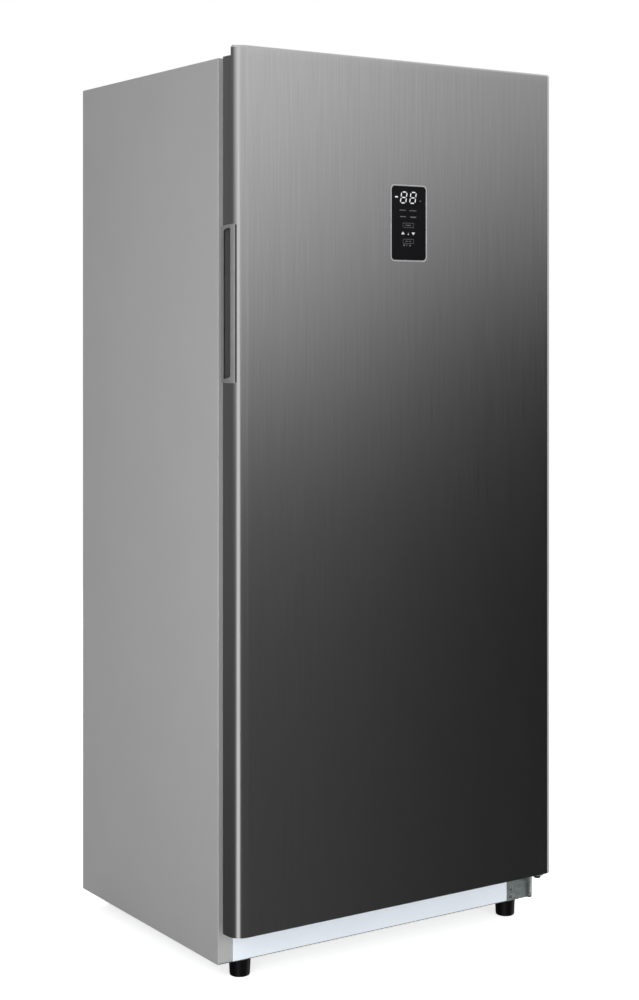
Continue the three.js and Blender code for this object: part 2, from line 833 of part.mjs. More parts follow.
function doorTopCap() {
  const bottom = cabinetTop - 26;
  const whole = doorForm(capInset, bottom, doorTop - skin - gap, 3.7);
  const hollow = block(-halfWidth + 20, hingeX - 30, doorFront + 6, linerFace - 3, 0,
    cabinetTop - 4);
  return whole.subtract(union(hollow, aboveShoulder(gap), capRelief()));
}

function doorBottomCap() {
  const top = doorBottom + 28;
  const whole = raised(doorPlan(capInset), doorBottom, top);
  const hollow = block(-halfWidth + 20, hingeX - 30, doorFront + 6, linerFace - 3,
    doorBottom + 3, doorTop);
  return whole.subtract(union(hollow, capRelief()));
}

// The ridge that the door liner carries round its inside, drawn as a ring grown or shrunk by inset.
const ridgeX = insideX - 14;
const ridgeBottom = insideFloor + 18;
const ridgeTop = insideTop - 18;
const ridgeWidth = 28;
const ridgeRear = cabinetFront + 50;

function ridge(inset, front, rear) {
  const inner = ridgeWidth - inset;
  return wide(ridgeX - inset, front, rear, ridgeBottom + inset, ridgeTop - inset).subtract(
    wide(ridgeX - inner, front - past, rear + past, ridgeBottom + inner, ridgeTop - inner)
  );
}

function doorInnerLiner() {
  const flat = wide(halfWidth - 14.4, linerFace, doorRear - 0.2, linerBottom, linerTop);
  const hollow = ridge(2.5, linerFace - past, ridgeRear - 2.5);
  return flat.add(ridge(0, linerFace, ridgeRear)).subtract(hollow);
}

function doorInsulation() {
  const bottom = doorBottom + 28 + gap;
  const top = cabinetTop - 26 - gap;
  const whole = raised(doorPlan(capInset), bottom, top);
  const behindLiner = wide(width, linerFace - gap, doorRear + past, 0, doorTop);
  const pocketRoom = block(
    -width, pocketInnerX + 1, pocketFront - 4, pocketRear + 4, pocketBottom - 4, pocketTop + 4
  );
  const panelRoom = upright(panelOutline(1.4), doorFront, doorFront + 17);
  return whole
    .subtract(union(behindLiner, pocketRoom, panelRoom))
    .add(ridge(2.8, linerFace - 1, ridgeRear - 2.8));
}

function doorGasket() {
  const outer = halfWidth - sealInset;
  const inner = outer - sealWidth;
  const top = cabinetTop - sealInset;
  const bottom = upstandTop - sealWidth;
  const front = doorRear + gap;
  const rear = cabinetFront - gap;
  const ring = wide(outer, front, rear, bottom, top);
  return ring.subtract(
    wide(inner, front - past, rear + past, bottom + sealWidth, top - sealWidth)
  );
}

// The bezel stands proud of the skin and follows the door's rounded corner.
function handleBezel() {
  const proud = 3;
  const front = doorFront + 10.8;
  const shell = raised(doorPlan(-proud), handleBottom, handleTop, 1.2).subtract(
    raised(doorPlan(-gap), handleBottom - 50, handleTop + 50)
  );
  const frame = shell.intersect(
    block(-width, -halfWidth + 22, front, doorRear - gap, handleBottom - 9, handleTop + 9)
  );
  return frame.subtract(
    block(-width, -halfWidth + 30, pocketFront, pocketRear, pocketBottom, pocketTop)
  );
}

function handleCup() {
  const wall = 2;
  const outside = block(
    -width, pocketInnerX, pocketFront - 3, pocketRear + 3, pocketBottom - 3, pocketTop + 3
  ).intersect(raised(doorPlan(capInset), handleBottom - 50, handleTop + 50));
  return outside.subtract(
    block(-width, pocketInnerX - wall, pocketFront - 1, pocketRear + 1,
      pocketBottom - 1, pocketTop + 1)
  );
}

// A shallow tray let into the front, with a thin rim outside and the glass closing its mouth.
function controlPanelFrame() {
  const rim = upright(panelOutline(0), doorFront - 1.6, doorFront - gap, 0.4);
  const tray = upright(panelOutline(2), doorFront - 1, doorFront + 16);
  const inside = upright(panelOutline(4), doorFront - past, doorFront + 14);
  return union(rim, tray).subtract(inside);
}

// Touch glass that closes the tray's mouth.
function controlPanelGlass() {
  return upright(panelOutline(4.3), doorFront - 1.2, doorFront + 1.8, 0.3);
}

// Printed board with the block of the digits on its front.
function displayBoard() {
  const edge = 8;
  const left = panelX - panelWidth / 2 + edge;
  const right = panelX + panelWidth / 2 - edge;
  const bottom = panelZ - panelHeight / 2 + edge;
  const top = panelZ + panelHeight / 2 - edge;
  return union(
    block(left, right, doorFront + 7, doorFront + 8.6, bottom, top),
    block(left + 6, right - 6, doorFront + 3, doorFront + 7.5, top - 50, top - 14)
  );
}

function upperHingeBush() {
  const body = bar([hingeX, hingeY, cabinetTop - 19], [hingeX, hingeY, cabinetTop - 1], bushRadius);
  return body.subtract(
    bar([hingeX, hingeY, cabinetTop - 50], [hingeX, hingeY, doorTop], pinRadius + 0.4)
  );
}

function lowerHingeBush() {
  const body = union(
    bar([hingeX, hingeY, armTop + gap], [hingeX, hingeY, doorBottom - gap], 12, 24),
    bar([hingeX, hingeY, doorBottom - 1], [hingeX, hingeY, doorBottom + 21.5], bushRadius)
  );
  return body.subtract(
    bar([hingeX, hingeY, 0], [hingeX, hingeY, doorBottom + 60], pinRadius + 0.4)
  );
}

// A door bin with its underside at the origin's level.
function doorBin() {
  const wall = 3;
  const height = 110;
  const front = doorRear + gap;
  const halfX = ridgeX - ridgeWidth - 0.5;
  return wide(halfX, front, binRear, 0, height).subtract(
    wide(halfX - wall, front + wall, binRear - wall, wall, height + past)
  );
}

// ---- Assembly ----
piece(cabinet, "outer_shell", outerShell(), greyPaint);
piece(cabinet, "back_panel", backPanel(), zincSteel);
piece(cabinet, "base_tray", baseTray(), zincSteel);
piece(cabinet, "machine_compartment_shroud", compartmentShroud(), zincSteel);
piece(cabinet, "rear_compartment_cover", rearCompartmentCover(), greyPaint);
piece(cabinet, "inner_liner", innerLiner(), whitePlastic);
piece(cabinet, "cabinet_insulation", cabinetInsulation(), foam);
piece(cabinet, "kick_plate", kickPlate(), whitePaint);
piece(cabinet, "lower_hinge_bracket", lowerHingeBracket(), zincSteel);
piece(cabinet, "lower_hinge_pin", lowerHingePin(), brightSteel);
piece(cabinet, "hinge_adjusting_screw", hingeAdjustingScrew(), brightSteel);
piece(cabinet, "bracket_screw_upper", bracketScrew(bracketScrewLevels[0]), brightSteel);
piece(cabinet, "bracket_screw_lower", bracketScrew(bracketScrewLevels[1]), brightSteel);
piece(cabinet, "underside_screw", undersideScrew(), blackRubber);
piece(cabinet, "top_hinge_plate", topHingePlate(), zincSteel);
piece(cabinet, "top_hinge_pin", topHingePin(), brightSteel);
piece(cabinet, "top_hinge_cover", topHingeCover(), darkPlastic);

for (const [side, word] of [[-1, "left"], [1, "right"]]) {
  const foot = piece(cabinet, `front_${word}_foot`, levellingFoot(), blackRubber);
  foot.position.set(side * footX, footY, 0);
  const wheel = piece(cabinet, `rear_${word}_roller`, roller(), darkPlastic);
  wheel.position.set(side * rollerX, rollerY, rollerRadius);
  const axle = piece(cabinet, `${word}_roller_axle`, rollerAxle(side), brightSteel);
  axle.position.set(side * rollerX, rollerY, rollerRadius);
}

piece(cabinet, "compressor", compressor(), blackEnamel);
piece(cabinet, "condenser", condenser(), copper);
piece(cabinet, "condenser_fan_motor", condenserFanMotor(), blackEnamel);
const coolingFan = piece(cabinet, "condenser_fan", fan(66, 14, 22, 5), darkPlastic);
coolingFan.rotation.y = Math.PI / 2;
coolingFan.position.set(coolingFanX, coolingFanY, coolingFanZ);
piece(cabinet, "drain_pan", drainPan(), darkPlastic);
piece(cabinet, "power_inlet", powerInlet(), blackEnamel);
piece(cabinet, "control_board_box", controlBoardBox(), whitePlastic);
const suctionRoute = [
  [compressorX + 92.3, compressorY, 200], [compressorX + 101, compressorY, 200],
  [compressorX + 114, compressorY, 208],
  [compressorX + 128, compressorY + 6, 230], [compressorX + 132, compressorY + 14, 262],
  [compressorX + 132, compressorY + 14, bayTop - sheet - gap],
];
piece(cabinet, "suction_tube", tube(suctionRoute, 4, 16), copper);
const dischargeRoute = [
  [compressorX, compressorY - 92.3, 180], [compressorX, compressorY - 99, 180],
  [compressorX + 12, compressorY - 108, 188],
  [compressorX + 60, bayFront + 14, 214], [-60, bayFront + 14, 252],
  [40, bayFront + 22, 276], [coilLeft - 40, coilY - 6, coilTop + 4],
  [coilLeft - 22, coilY, coilTop], [coilLeft - 12.3, coilY, coilTop],
];
piece(cabinet, "discharge_tube", tube(dischargeRoute, 3, 26), copper);

piece(cabinet, "evaporator", evaporator(), bareAluminium);
piece(cabinet, "evaporator_cover", evaporatorCover(), whitePlastic);
piece(cabinet, "evaporator_fan_motor", evaporatorFanMotor(), blackEnamel);
const coolerFan = piece(cabinet, "evaporator_fan", fan(58, 12, 20, 5), darkPlastic);
coolerFan.rotation.x = Math.PI / 2;
coolerFan.position.set(0, insideRear - 21.5, coolerFanZ);
piece(cabinet, "defrost_heater", defrostHeater(), bareAluminium);
piece(cabinet, "interior_lamp", interiorLamp(), clearPlastic);

shelfLevels.forEach((level, index) => {
  piece(cabinet, `shelf_${index + 1}`, shelf(), clearPlastic).position.z = level;
});
piece(cabinet, "storage_basket", storageBasket(), whitePlastic);

piece(door, "door_skin", doorSkin(), brushedSteel);
piece(door, "door_top_cap", doorTopCap(), darkPlastic);
piece(door, "door_bottom_cap", doorBottomCap(), darkPlastic);
piece(door, "door_insulation", doorInsulation(), foam);
piece(door, "door_inner_liner", doorInnerLiner(), whitePlastic);
piece(door, "door_gasket", doorGasket(), sealRubber);
piece(door, "handle_bezel", handleBezel(), satinSilver);
piece(door, "handle_cup", handleCup(), darkPlastic);
piece(door, "control_panel_frame", controlPanelFrame(), satinSilver);
piece(door, "control_panel_glass", controlPanelGlass(), blackGlass);
piece(door, "display_board", displayBoard(), circuitGreen);
piece(door, "upper_hinge_bush", upperHingeBush(), whitePlastic);
piece(door, "lower_hinge_bush", lowerHingeBush(), whitePlastic);
binLevels.forEach((level, index) => {
  piece(door, `door_bin_${index + 1}`, doorBin(), clearPlastic).position.z = level;
});

export default freezer;
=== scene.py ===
# %% [markdown]
# # An upright freezer with one brushed steel door
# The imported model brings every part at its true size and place. This lesson gives it its looks:
# rounded sheet steel, moulded plastic, glass, wire and the small printed display.
# Everything is in metres, with Z up and the door facing along -Y.

# %% Load the frame
import json
import math

import bmesh
import bpy
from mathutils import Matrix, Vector


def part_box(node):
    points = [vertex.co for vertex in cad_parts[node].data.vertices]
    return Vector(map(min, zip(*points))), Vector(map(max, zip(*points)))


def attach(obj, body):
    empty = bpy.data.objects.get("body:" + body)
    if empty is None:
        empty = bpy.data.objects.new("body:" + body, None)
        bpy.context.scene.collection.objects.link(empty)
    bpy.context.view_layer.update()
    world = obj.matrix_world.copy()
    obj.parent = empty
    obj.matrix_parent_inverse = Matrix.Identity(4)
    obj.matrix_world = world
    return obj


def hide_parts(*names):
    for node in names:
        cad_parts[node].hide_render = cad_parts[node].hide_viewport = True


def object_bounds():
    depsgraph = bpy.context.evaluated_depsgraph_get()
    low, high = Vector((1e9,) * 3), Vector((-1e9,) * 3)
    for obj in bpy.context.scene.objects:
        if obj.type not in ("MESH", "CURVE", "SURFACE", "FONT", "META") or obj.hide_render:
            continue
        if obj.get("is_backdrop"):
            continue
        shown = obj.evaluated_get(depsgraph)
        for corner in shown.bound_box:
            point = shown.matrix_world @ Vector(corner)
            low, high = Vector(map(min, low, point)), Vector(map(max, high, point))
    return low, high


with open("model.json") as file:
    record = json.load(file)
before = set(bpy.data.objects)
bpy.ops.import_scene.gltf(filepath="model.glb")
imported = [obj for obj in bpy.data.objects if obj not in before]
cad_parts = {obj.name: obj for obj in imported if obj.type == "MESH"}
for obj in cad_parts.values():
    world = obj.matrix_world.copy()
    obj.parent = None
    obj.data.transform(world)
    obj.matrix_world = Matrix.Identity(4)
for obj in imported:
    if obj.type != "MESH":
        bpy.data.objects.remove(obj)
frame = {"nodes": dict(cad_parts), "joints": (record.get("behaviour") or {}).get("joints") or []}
cad_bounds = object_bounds()
print("CAD nodes:", len(frame["nodes"]))

# %% [markdown]
# ## Sizes
# The parts are drawn in millimetres and Blender works in metres, so one factor joins the two.
# `span` asks the frame where a part is, so that each new piece is drawn from the part it stands for.

# %% Millimetres and the frame's boxes
MM = 0.001
X, Y, Z = 0, 1, 2


def span(node):
    """The lowest and highest corner of a CAD node, in millimetres."""
    low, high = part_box(node)
    return low / MM, high / MM


def centre_of(node):
    """The middle of a CAD node, in millimetres."""
    low, high = span(node)
    return (low + high) / 2


skin_low, skin_high = span("door_skin")
shell_low, shell_high = span("outer_shell")
door_front, door_rear = skin_low.y, skin_high.y
cabinet_front, cabinet_top = shell_low.y, shell_high.z
print("Door height:", round(skin_high.z - skin_low.z), "mm")

# %% [markdown]
# ## Camera
# The photograph is taken from the left of the door with the camera held level, so upright edges
# stay upright in the picture. The freezer is framed by shifting the lens, as an architect's camera
# does, and not by tilting it.

# %% Camera at the photograph's place
camera_place = (-2.321, -3.520, 1.3424)
camera_turn = math.radians(33.57)
camera_lens = 65.93
lens_shift = -0.172

camera_data = bpy.data.cameras.new("camera")
camera_data.lens = camera_lens
camera_data.shift_y = lens_shift
camera = bpy.data.objects.new("camera", camera_data)
camera.location = camera_place
camera.rotation_euler = (math.pi / 2, 0, -camera_turn)
bpy.context.scene.collection.objects.link(camera)
bpy.context.scene.camera = camera
bpy.context.scene.view_settings.view_transform = "Standard"
print("Lens:", camera_lens, "mm")

# %% [markdown]
# ## A few tools of the trade
# Blender's operators act on whatever is selected, so each step starts by clearing the selection.
# `choose` opens a piece in edit mode and selects faces or edges by where they are.

# %% Selecting and starting pieces


def only(piece):
    """Leaves edit mode and makes one piece the only one selected."""
    if bpy.context.mode != "OBJECT":
        bpy.ops.object.mode_set(mode="OBJECT")
    bpy.ops.object.select_all(action="DESELECT")
    if piece:
        piece.select_set(True)
        bpy.context.view_layer.objects.active = piece


def settle(name):
    """Names the new piece and puts its place and size into its mesh."""
    piece = bpy.context.object
    piece.name = name
    bpy.ops.object.transform_apply(location=True, rotation=True, scale=True)
    return piece


def block(name, low, high):
    """A box between two corners given in millimetres."""
    only(None)
    middle = [(a + b) / 2 * MM for a, b in zip(low, high)]
    bpy.ops.mesh.primitive_cube_add(size=1, location=middle)
    bpy.context.object.scale = [(b - a) * MM for a, b in zip(low, high)]
    return settle(name)


def choose(piece, kind, test):
    """Opens the piece in edit mode and selects the faces or edges that pass the test."""
    only(piece)
    bpy.ops.object.mode_set(mode="EDIT")
    bpy.ops.mesh.select_mode(type="FACE" if kind == "faces" else "EDGE")
    bpy.ops.mesh.select_all(action="DESELECT")
    shape = bmesh.from_edit_mesh(piece.data)
    for item in getattr(shape, kind):
        item.select_set(bool(test(item)))
    bmesh.update_edit_mesh(piece.data)


# %% Tests for the faces and edges of a piece


def faces(axis, sign):
    """Faces that look along an axis, up it or down it."""
    return lambda face: face.normal[axis] * sign > 0.99


def at(item, axis, place):
    """Whether a face or an edge lies at a place on an axis, in millimetres."""
    return all(abs(corner.co[axis] / MM - place) < 0.05 for corner in item.verts)


def along(edge, axis):
    """Whether an edge runs along an axis."""
    run = edge.verts[1].co - edge.verts[0].co
    return abs(run[axis]) > 0.999 * run.length


def upright(x, y):
    """A test for the edges that stand upright at a place."""
    return lambda edge: along(edge, Z) and at(edge, X, x) and at(edge, Y, y)


def middle_of(item):
    """The middle of a face or an edge, in millimetres."""
    return sum((corner.co for corner in item.verts), Vector()) / len(item.verts) / MM


def within(value, low, high):
    """Whether a value lies between two others."""
    return low < value < high


# %% [markdown]
# Three more steps come back all the time: cutting a piece across at a place, pulling selected faces
# out, and rounding selected edges. A piece that cuts a hole in another runs past both of its faces by
# the same `overshoot`, so that no thin skin is left there.

# %% Cutting, pulling and rounding
overshoot = 9


def cut(piece, axis, *places, test=lambda face: True):
    """Adds an edge loop round the chosen faces at each place, without taking anything away."""
    for place in places:
        choose(piece, "faces", test)
        point, normal = [0, 0, 0], [0, 0, 0]
        point[axis], normal[axis] = place * MM, 1
        bpy.ops.mesh.bisect(plane_co=point, plane_no=normal)


def pull(piece, test, move):
    """Pulls the chosen faces out by a move in millimetres."""
    choose(piece, "faces", test)
    bpy.ops.mesh.extrude_region_move(TRANSFORM_OT_translate={"value": [part * MM for part in move]})


def remove(piece, test):
    """Takes the chosen faces away."""
    choose(piece, "faces", test)
    bpy.ops.mesh.delete(type="FACE")


def round_edges(piece, test, radius, steps):
    """Rounds the chosen edges to a radius in millimetres."""
    choose(piece, "edges", test)
    bpy.ops.mesh.bevel(offset=radius * MM, segments=steps, affect="EDGES")


def modify(piece, kind, **settings):
    """Adds a modifier with its settings and applies it."""
    only(piece)
    modifier = piece.modifiers.new(kind.lower(), kind)
    for key, value in settings.items():
        setattr(modifier, key, value)
    bpy.ops.object.modifier_apply(modifier=modifier.name)
    return piece


def soften(piece, width, steps=2, angle=30):
    """Rounds every edge sharper than an angle."""
    return modify(piece, "BEVEL", width=width * MM, segments=steps, limit_method="ANGLE",
                  angle_limit=math.radians(angle), miter_outer="MITER_ARC")


def carve(piece, *tools):
    """Cuts other pieces out of this one and removes them."""
    for tool in tools:
        modify(piece, "BOOLEAN", operation="DIFFERENCE", object=tool, solver="EXACT")
        bpy.data.objects.remove(tool)
    return piece


def merge(name, pieces):
    """Makes one piece of several."""
    only(pieces[0])
    for piece in pieces:
        piece.select_set(True)
    if len(pieces) > 1:
        bpy.ops.object.join()
    pieces[0].name = name
    return pieces[0]


# %% [markdown]
# A part whose form in the frame is right only needs finer edges. A copy of it is taken, its loose
# triangles are merged and paired, and its edges are rounded as a press or a mould would leave them.

# %% A copy of a part, ready for finer edges


def copy_of(node, name):
    """A merged copy of a CAD node, free of the frame."""
    source = frame["nodes"][node]
    piece = bpy.data.objects.new(name, source.data.copy())
    bpy.context.scene.collection.objects.link(piece)
    only(piece)
    piece.data.materials.clear()
    bpy.ops.mesh.customdata_custom_splitnormals_clear()
    choose(piece, "faces", lambda face: True)
    bpy.ops.mesh.remove_doubles(threshold=0.01 * MM)
    bpy.ops.mesh.tris_convert_to_quads()
    only(piece)
    return piece


# %% [markdown]
# ## Turned and drawn shapes
# Feet, rollers and the compressor are round. Each starts as a disc that is extruded and scaled along
# its outline, as a wood turner follows a template. Tubes and wires are a line with a thickness.

# %% Turning and wire drawing


def turned(name, centre, outline, sides=48):
    """A round piece on the Z axis from pairs of radius and height, in millimetres."""
    only(None)
    radius, height = outline[0]
    place = Vector(centre) * MM
    bpy.ops.mesh.primitive_circle_add(
        vertices=sides, radius=radius * MM, fill_type="NGON", location=place + Vector((0, 0, height * MM))
    )
    piece = settle(name)
    choose(piece, "faces", lambda face: True)
    for next_radius, next_height in outline[1:]:
        rise = (0, 0, (next_height - height) * MM)
        bpy.ops.mesh.extrude_region_move(TRANSFORM_OT_translate={"value": rise})
        share = next_radius / radius
        bpy.ops.transform.resize(value=(share, share, 1))
        radius, height = next_radius, next_height
    bpy.ops.mesh.select_all(action="SELECT")
    bpy.ops.mesh.normals_make_consistent(inside=False)
    only(piece)
    return piece


def turn(piece, angle, axis, centre=(0, 0, 0)):
    """Turns a piece about an axis through a point in millimetres."""
    choose(piece, "faces", lambda face: True)
    bpy.ops.transform.rotate(value=-math.radians(angle), orient_axis=axis,
                             center_override=Vector(centre) * MM)
    only(piece)
    return piece


def wire(name, lines, radius, closed=False, sides=8):
    """Round wires or tubes along lines of points in millimetres."""
    drawing = bpy.data.curves.new(name, "CURVE")
    drawing.dimensions = "3D"
    drawing.bevel_depth = radius * MM
    drawing.bevel_resolution = sides // 2 - 2
    drawing.use_fill_caps = True
    for line in lines:
        path = drawing.splines.new("POLY")
        path.points.add(len(line) - 1)
        for point, place in zip(path.points, line):
            point.co = (*(Vector(place) * MM), 1)
        path.use_cyclic_u = closed
    piece = bpy.data.objects.new(name, drawing)
    bpy.context.scene.collection.objects.link(piece)
    only(piece)
    bpy.ops.object.convert(target="MESH")
    return piece


def bent(points, radius, steps=5):
    """The same line with each inner corner rounded to a radius."""
    line = [Vector(points[0])]
    for before, corner, after in zip(points, points[1:], points[2:]):
        corner = Vector(corner)
        start = corner + (Vector(before) - corner).normalized() * radius
        end = corner + (Vector(after) - corner).normalized() * radius
        for step in range(steps + 1):
            share = step / steps
            line.append(start.lerp(corner, share).lerp(corner.lerp(end, share), share))
    return line + [Vector(points[-1])]


# %% [markdown]
# Every finished piece gets its material, the body it moves with, and the CAD parts it stands for.
# Weighted normals keep large faces flat where they meet a small rounded edge.

# %% Finishing a piece
made = []


def finished(piece, body, material, slot, *replaced, smooth=35):
    """Shades a piece, dresses it, and ties it to its body."""
    only(piece)
    piece.data.materials.clear()
    piece.data.materials.append(material)
    bpy.ops.object.shade_smooth_by_angle(angle=math.radians(smooth))
    modify(piece, "WEIGHTED_NORMAL", keep_sharp=True)
    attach(piece, body)
    if replaced:
        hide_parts(*replaced)
    made.append(piece)
    return piece


def dressed(material, *names):
    """Gives CAD nodes whose shape is right their finish."""
    for name in names:
        node = frame["nodes"][name]
        node.data.materials.clear()
        node.data.materials.append(material)


# %% [markdown]
# ## Finishes
# Colours are written as the hex values that a screen shows, and one function turns them into the
# linear numbers that the shaders work with. One more function adds a node with its settings and links.

# %% Colour and node helpers


def colour(hex_value):
    """An sRGB hex colour as linear red, green, blue and alpha."""
    parts = [int(hex_value[place:place + 2], 16) / 255 for place in (1, 3, 5)]
    linear = [part / 12.92 if part <= 0.04045 else ((part + 0.055) / 1.055) ** 2.4 for part in parts]
    return (*linear, 1)


def add(tree, kind, inputs=None, **settings):
    """Adds a node, sets it, and gives its inputs a value or another node's output."""
    fresh = tree.nodes.new(kind)
    for key, value in settings.items():
        setattr(fresh, key, value)
    for key, value in (inputs or {}).items():
        if isinstance(value, bpy.types.NodeSocket):
            tree.links.new(value, fresh.inputs[key])
        else:
            fresh.inputs[key].default_value = value
    return fresh


# %% [markdown]
# Most finishes are built alike: a slow pattern shifts the colour a little, a fine one changes the gloss
# and raises the surface. `finish` lays out that pattern once, and each material states what is its own.
# The size of a grain is in millimetres, and `stretch` makes it longer along one direction.

# %% A finish from a slow and a fine pattern


def finish(name, dark, light, gloss, fine, slow=60, relief=0.0, stretch=(1, 1, 1),
           target="Base Color", **uniform):
    """A material whose colour follows a slow pattern and whose gloss and relief follow a fine one."""
    fresh = bpy.data.materials.new(name)
    fresh.use_nodes = True
    tree = fresh.node_tree
    shader = tree.nodes["Principled BSDF"]
    where = add(tree, "ShaderNodeTexCoord").outputs["Object"]
    patterns = []
    for size in (slow, fine):
        scale = [1 / (size * MM * share) for share in stretch]
        spread = add(tree, "ShaderNodeMapping", {"Vector": where, "Scale": scale})
        noise = add(tree, "ShaderNodeTexNoise", {"Vector": spread.outputs[0], "Scale": 1, "Detail": 2})
        patterns.append(noise.outputs[0])
    shade, texture = patterns
    ramp = add(tree, "ShaderNodeValToRGB", {"Fac": shade})
    for stop, place, tone in zip(ramp.color_ramp.elements, (0.3, 0.7), (dark, light)):
        stop.position = place
        stop.color = colour(tone)
    tree.links.new(ramp.outputs[0], shader.inputs[target])
    shine = add(tree, "ShaderNodeMapRange", {
        "Value": texture, "From Min": 0.3, "From Max": 0.7, "To Min": gloss[0], "To Max": gloss[1],
    })
    tree.links.new(shine.outputs[0], shader.inputs["Roughness"])
    if relief:
        bump = add(tree, "ShaderNodeBump", {"Height": texture, "Distance": relief * MM, "Strength": 1})
        tree.links.new(bump.outputs[0], shader.inputs["Normal"])
    for key, value in uniform.items():
        shader.inputs[key.replace("_", " ")].default_value = value
    return fresh


# %% [markdown]
# ### Brushed stainless steel
# The door is ferritic stainless steel, brushed upright with a belt of about 180 grit. Its scratches are
# 0.1 mm apart, too fine to see from four metres, so they are drawn 1.2 mm apart and very faint. The
# scratches spread a reflection sideways and leave it sharp up and down, which the anisotropy does. Its
# tangent turns round the upright axis, so it stays level on the front and on both corners.

# %% Brushed stainless steel
stainless = finish("brushed_stainless_steel", "#C0C0C1", "#C9C9CA", (0.15, 0.18), 1.2, 1.6, 0.0007,
                   (1, 1, 110), Metallic=1, Anisotropic=0.6)
steel_tree = stainless.node_tree
tangent = add(steel_tree, "ShaderNodeTangent", direction_type="RADIAL", axis="Z")
steel_tree.links.new(tangent.outputs[0], steel_tree.nodes["Principled BSDF"].inputs["Tangent"])

# %% [markdown]
# ### Painted, coated and plated steel
# The cabinet is coil-coated sheet steel: paint rolled on flat before the sheet is folded. It leaves a
# satin skin with a faint orange peel, grains about 2 mm across. The kick plate is sprayed and stoved,
# the compressor is dipped in black enamel, and the basket's wire is coated with epoxy powder.

# %% Painted and coated steel
coil_coated_grey = finish("coil_coated_grey_steel", "#A8A8A8", "#AAAAAA", (0.44, 0.5), 2, 160, 0.006)
stove_enamel_white = finish("white_stove_enamel_steel", "#EAF1F9", "#EDF4FC", (0.28, 0.34), 2, 120, 0.008)
black_enamel = finish("black_enamelled_steel", "#141517", "#1C1D1F", (0.28, 0.38), 3, 40, 0.03)
epoxy_wire = finish("white_epoxy_coated_wire", "#EAECEC", "#F0F1F1", (0.22, 0.3), 1, 30)

# %% [markdown]
# Galvanised sheet shows its spangle, the zinc crystals that froze on it, each 6 to 10 mm across and
# each a little lighter or darker than its neighbours. Voronoi cells are just such crystals, so they
# take the place of the soft pattern. The brackets and the tray are passivated, which turns the zinc a
# darker, greenish grey, and the back sheet is left light. Screws and pins are zinc plated, finer and
# brighter.

# %% Galvanised sheet and plated screws


def galvanised(name, dark, light, gloss):
    """A zinc coating whose colour follows its crystals."""
    crystal = 8
    fresh = finish(name, dark, light, gloss, 1.5, crystal, 0.01, Metallic=0.5)
    tree = fresh.node_tree
    spread = add(tree, "ShaderNodeMapping", {
        "Vector": tree.nodes["Texture Coordinate"].outputs["Object"], "Scale": [1 / (crystal * MM)] * 3,
    })
    spangle = add(tree, "ShaderNodeTexVoronoi", {"Vector": spread.outputs[0], "Scale": 1})
    tone = add(tree, "ShaderNodeSeparateColor", {"Color": spangle.outputs["Color"]})
    tree.links.new(tone.outputs[0], tree.nodes["Color Ramp"].inputs["Fac"])
    return fresh


zinc_sheet = galvanised("galvanised_steel", "#838B8B", "#909898", (0.42, 0.55))
light_zinc_sheet = galvanised("light_galvanised_steel", "#A9ACAE", "#B2B5B7", (0.46, 0.56))
zinc_plate = finish("zinc_plated_steel", "#B4B6B8", "#C6C8CA", (0.22, 0.34), 0.8, 6, 0.008, Metallic=1)

# %% [markdown]
# ### Plastics and rubber
# Moulded plastic carries the texture of its mould. The liner is polystyrene drawn by vacuum, smooth and
# a little glossy. Caps, cup and rollers are ABS with a fine spark-eroded grain, the feet are
# polypropylene with a harder sheen, and the seal is soft vinyl. The index of each is its plastic's own.

# %% Moulded plastics
white_polystyrene = finish("white_vacuum_formed_polystyrene", "#E5E7E7", "#E8EAEA", (0.26, 0.32), 3, 150,
                           0.004, IOR=1.59)
grey_abs = finish("dark_grey_abs", "#565658", "#5E5E60", (0.45, 0.55), 0.6, 40, 0.03, IOR=1.54)
black_polypropylene = finish("black_polypropylene", "#050505", "#090909", (0.38, 0.46), 0.8, 30, 0.02,
                             IOR=1.49, Specular_IOR_Level=0.25)
seal_vinyl = finish("grey_seal_vinyl", "#85878A", "#8E9093", (0.5, 0.6), 1.5, 60, 0.03, IOR=1.53)
insulating_foam = finish("polyurethane_foam", "#DFCF98", "#EBDDAC", (0.9, 0.98), 1.2, 20, 0.4)
frosted_lens = finish("frosted_acrylic", "#F0F3F4", "#F6F8F8", (0.4, 0.5), 1, 40, 0.02, IOR=1.49)
circuit_board = finish("green_circuit_board", "#1F4A34", "#2B5F45", (0.4, 0.5), 2, 10, 0.05)

# %% [markdown]
# The handle's bezel and the display's frame are ABS sprayed with silver lacquer. Fine aluminium flakes
# float in it, so to the eye it is half metal and half paint, and its highlight is broad and soft. The
# display's frame has the brighter coat, so it draws a thin light line round the black glass.

# %% Silver lacquer, copper and aluminium
silver_lacquer = finish("satin_silver_lacquered_abs", "#969697", "#9E9E9F", (0.26, 0.34), 0.7, 30, 0.004,
                        Metallic=0.5)
bright_lacquer = finish("bright_silver_lacquered_abs", "#B8B8B9", "#C0C0C1", (0.24, 0.3), 0.7, 30, 0.004,
                        Metallic=0.5)
drawn_copper = finish("drawn_copper_tube", "#B4714B", "#C98961", (0.28, 0.4), 5, 20, 0.01, Metallic=1)
mill_aluminium = finish("mill_finish_aluminium", "#B0B3B6", "#C2C5C8", (0.3, 0.42), 3, 14, 0.01, Metallic=1)

# %% [markdown]
# ### Glass and clear plastic
# Shelf glass is toughened float glass, faintly green in its thickness. The bins are clear SAN plastic,
# a little blue. The touch panel is glass with a black print behind it and a coating that takes away
# most of the glare, so it stays black. The first two let part of the light straight through, so that
# what lies behind them stays bright.

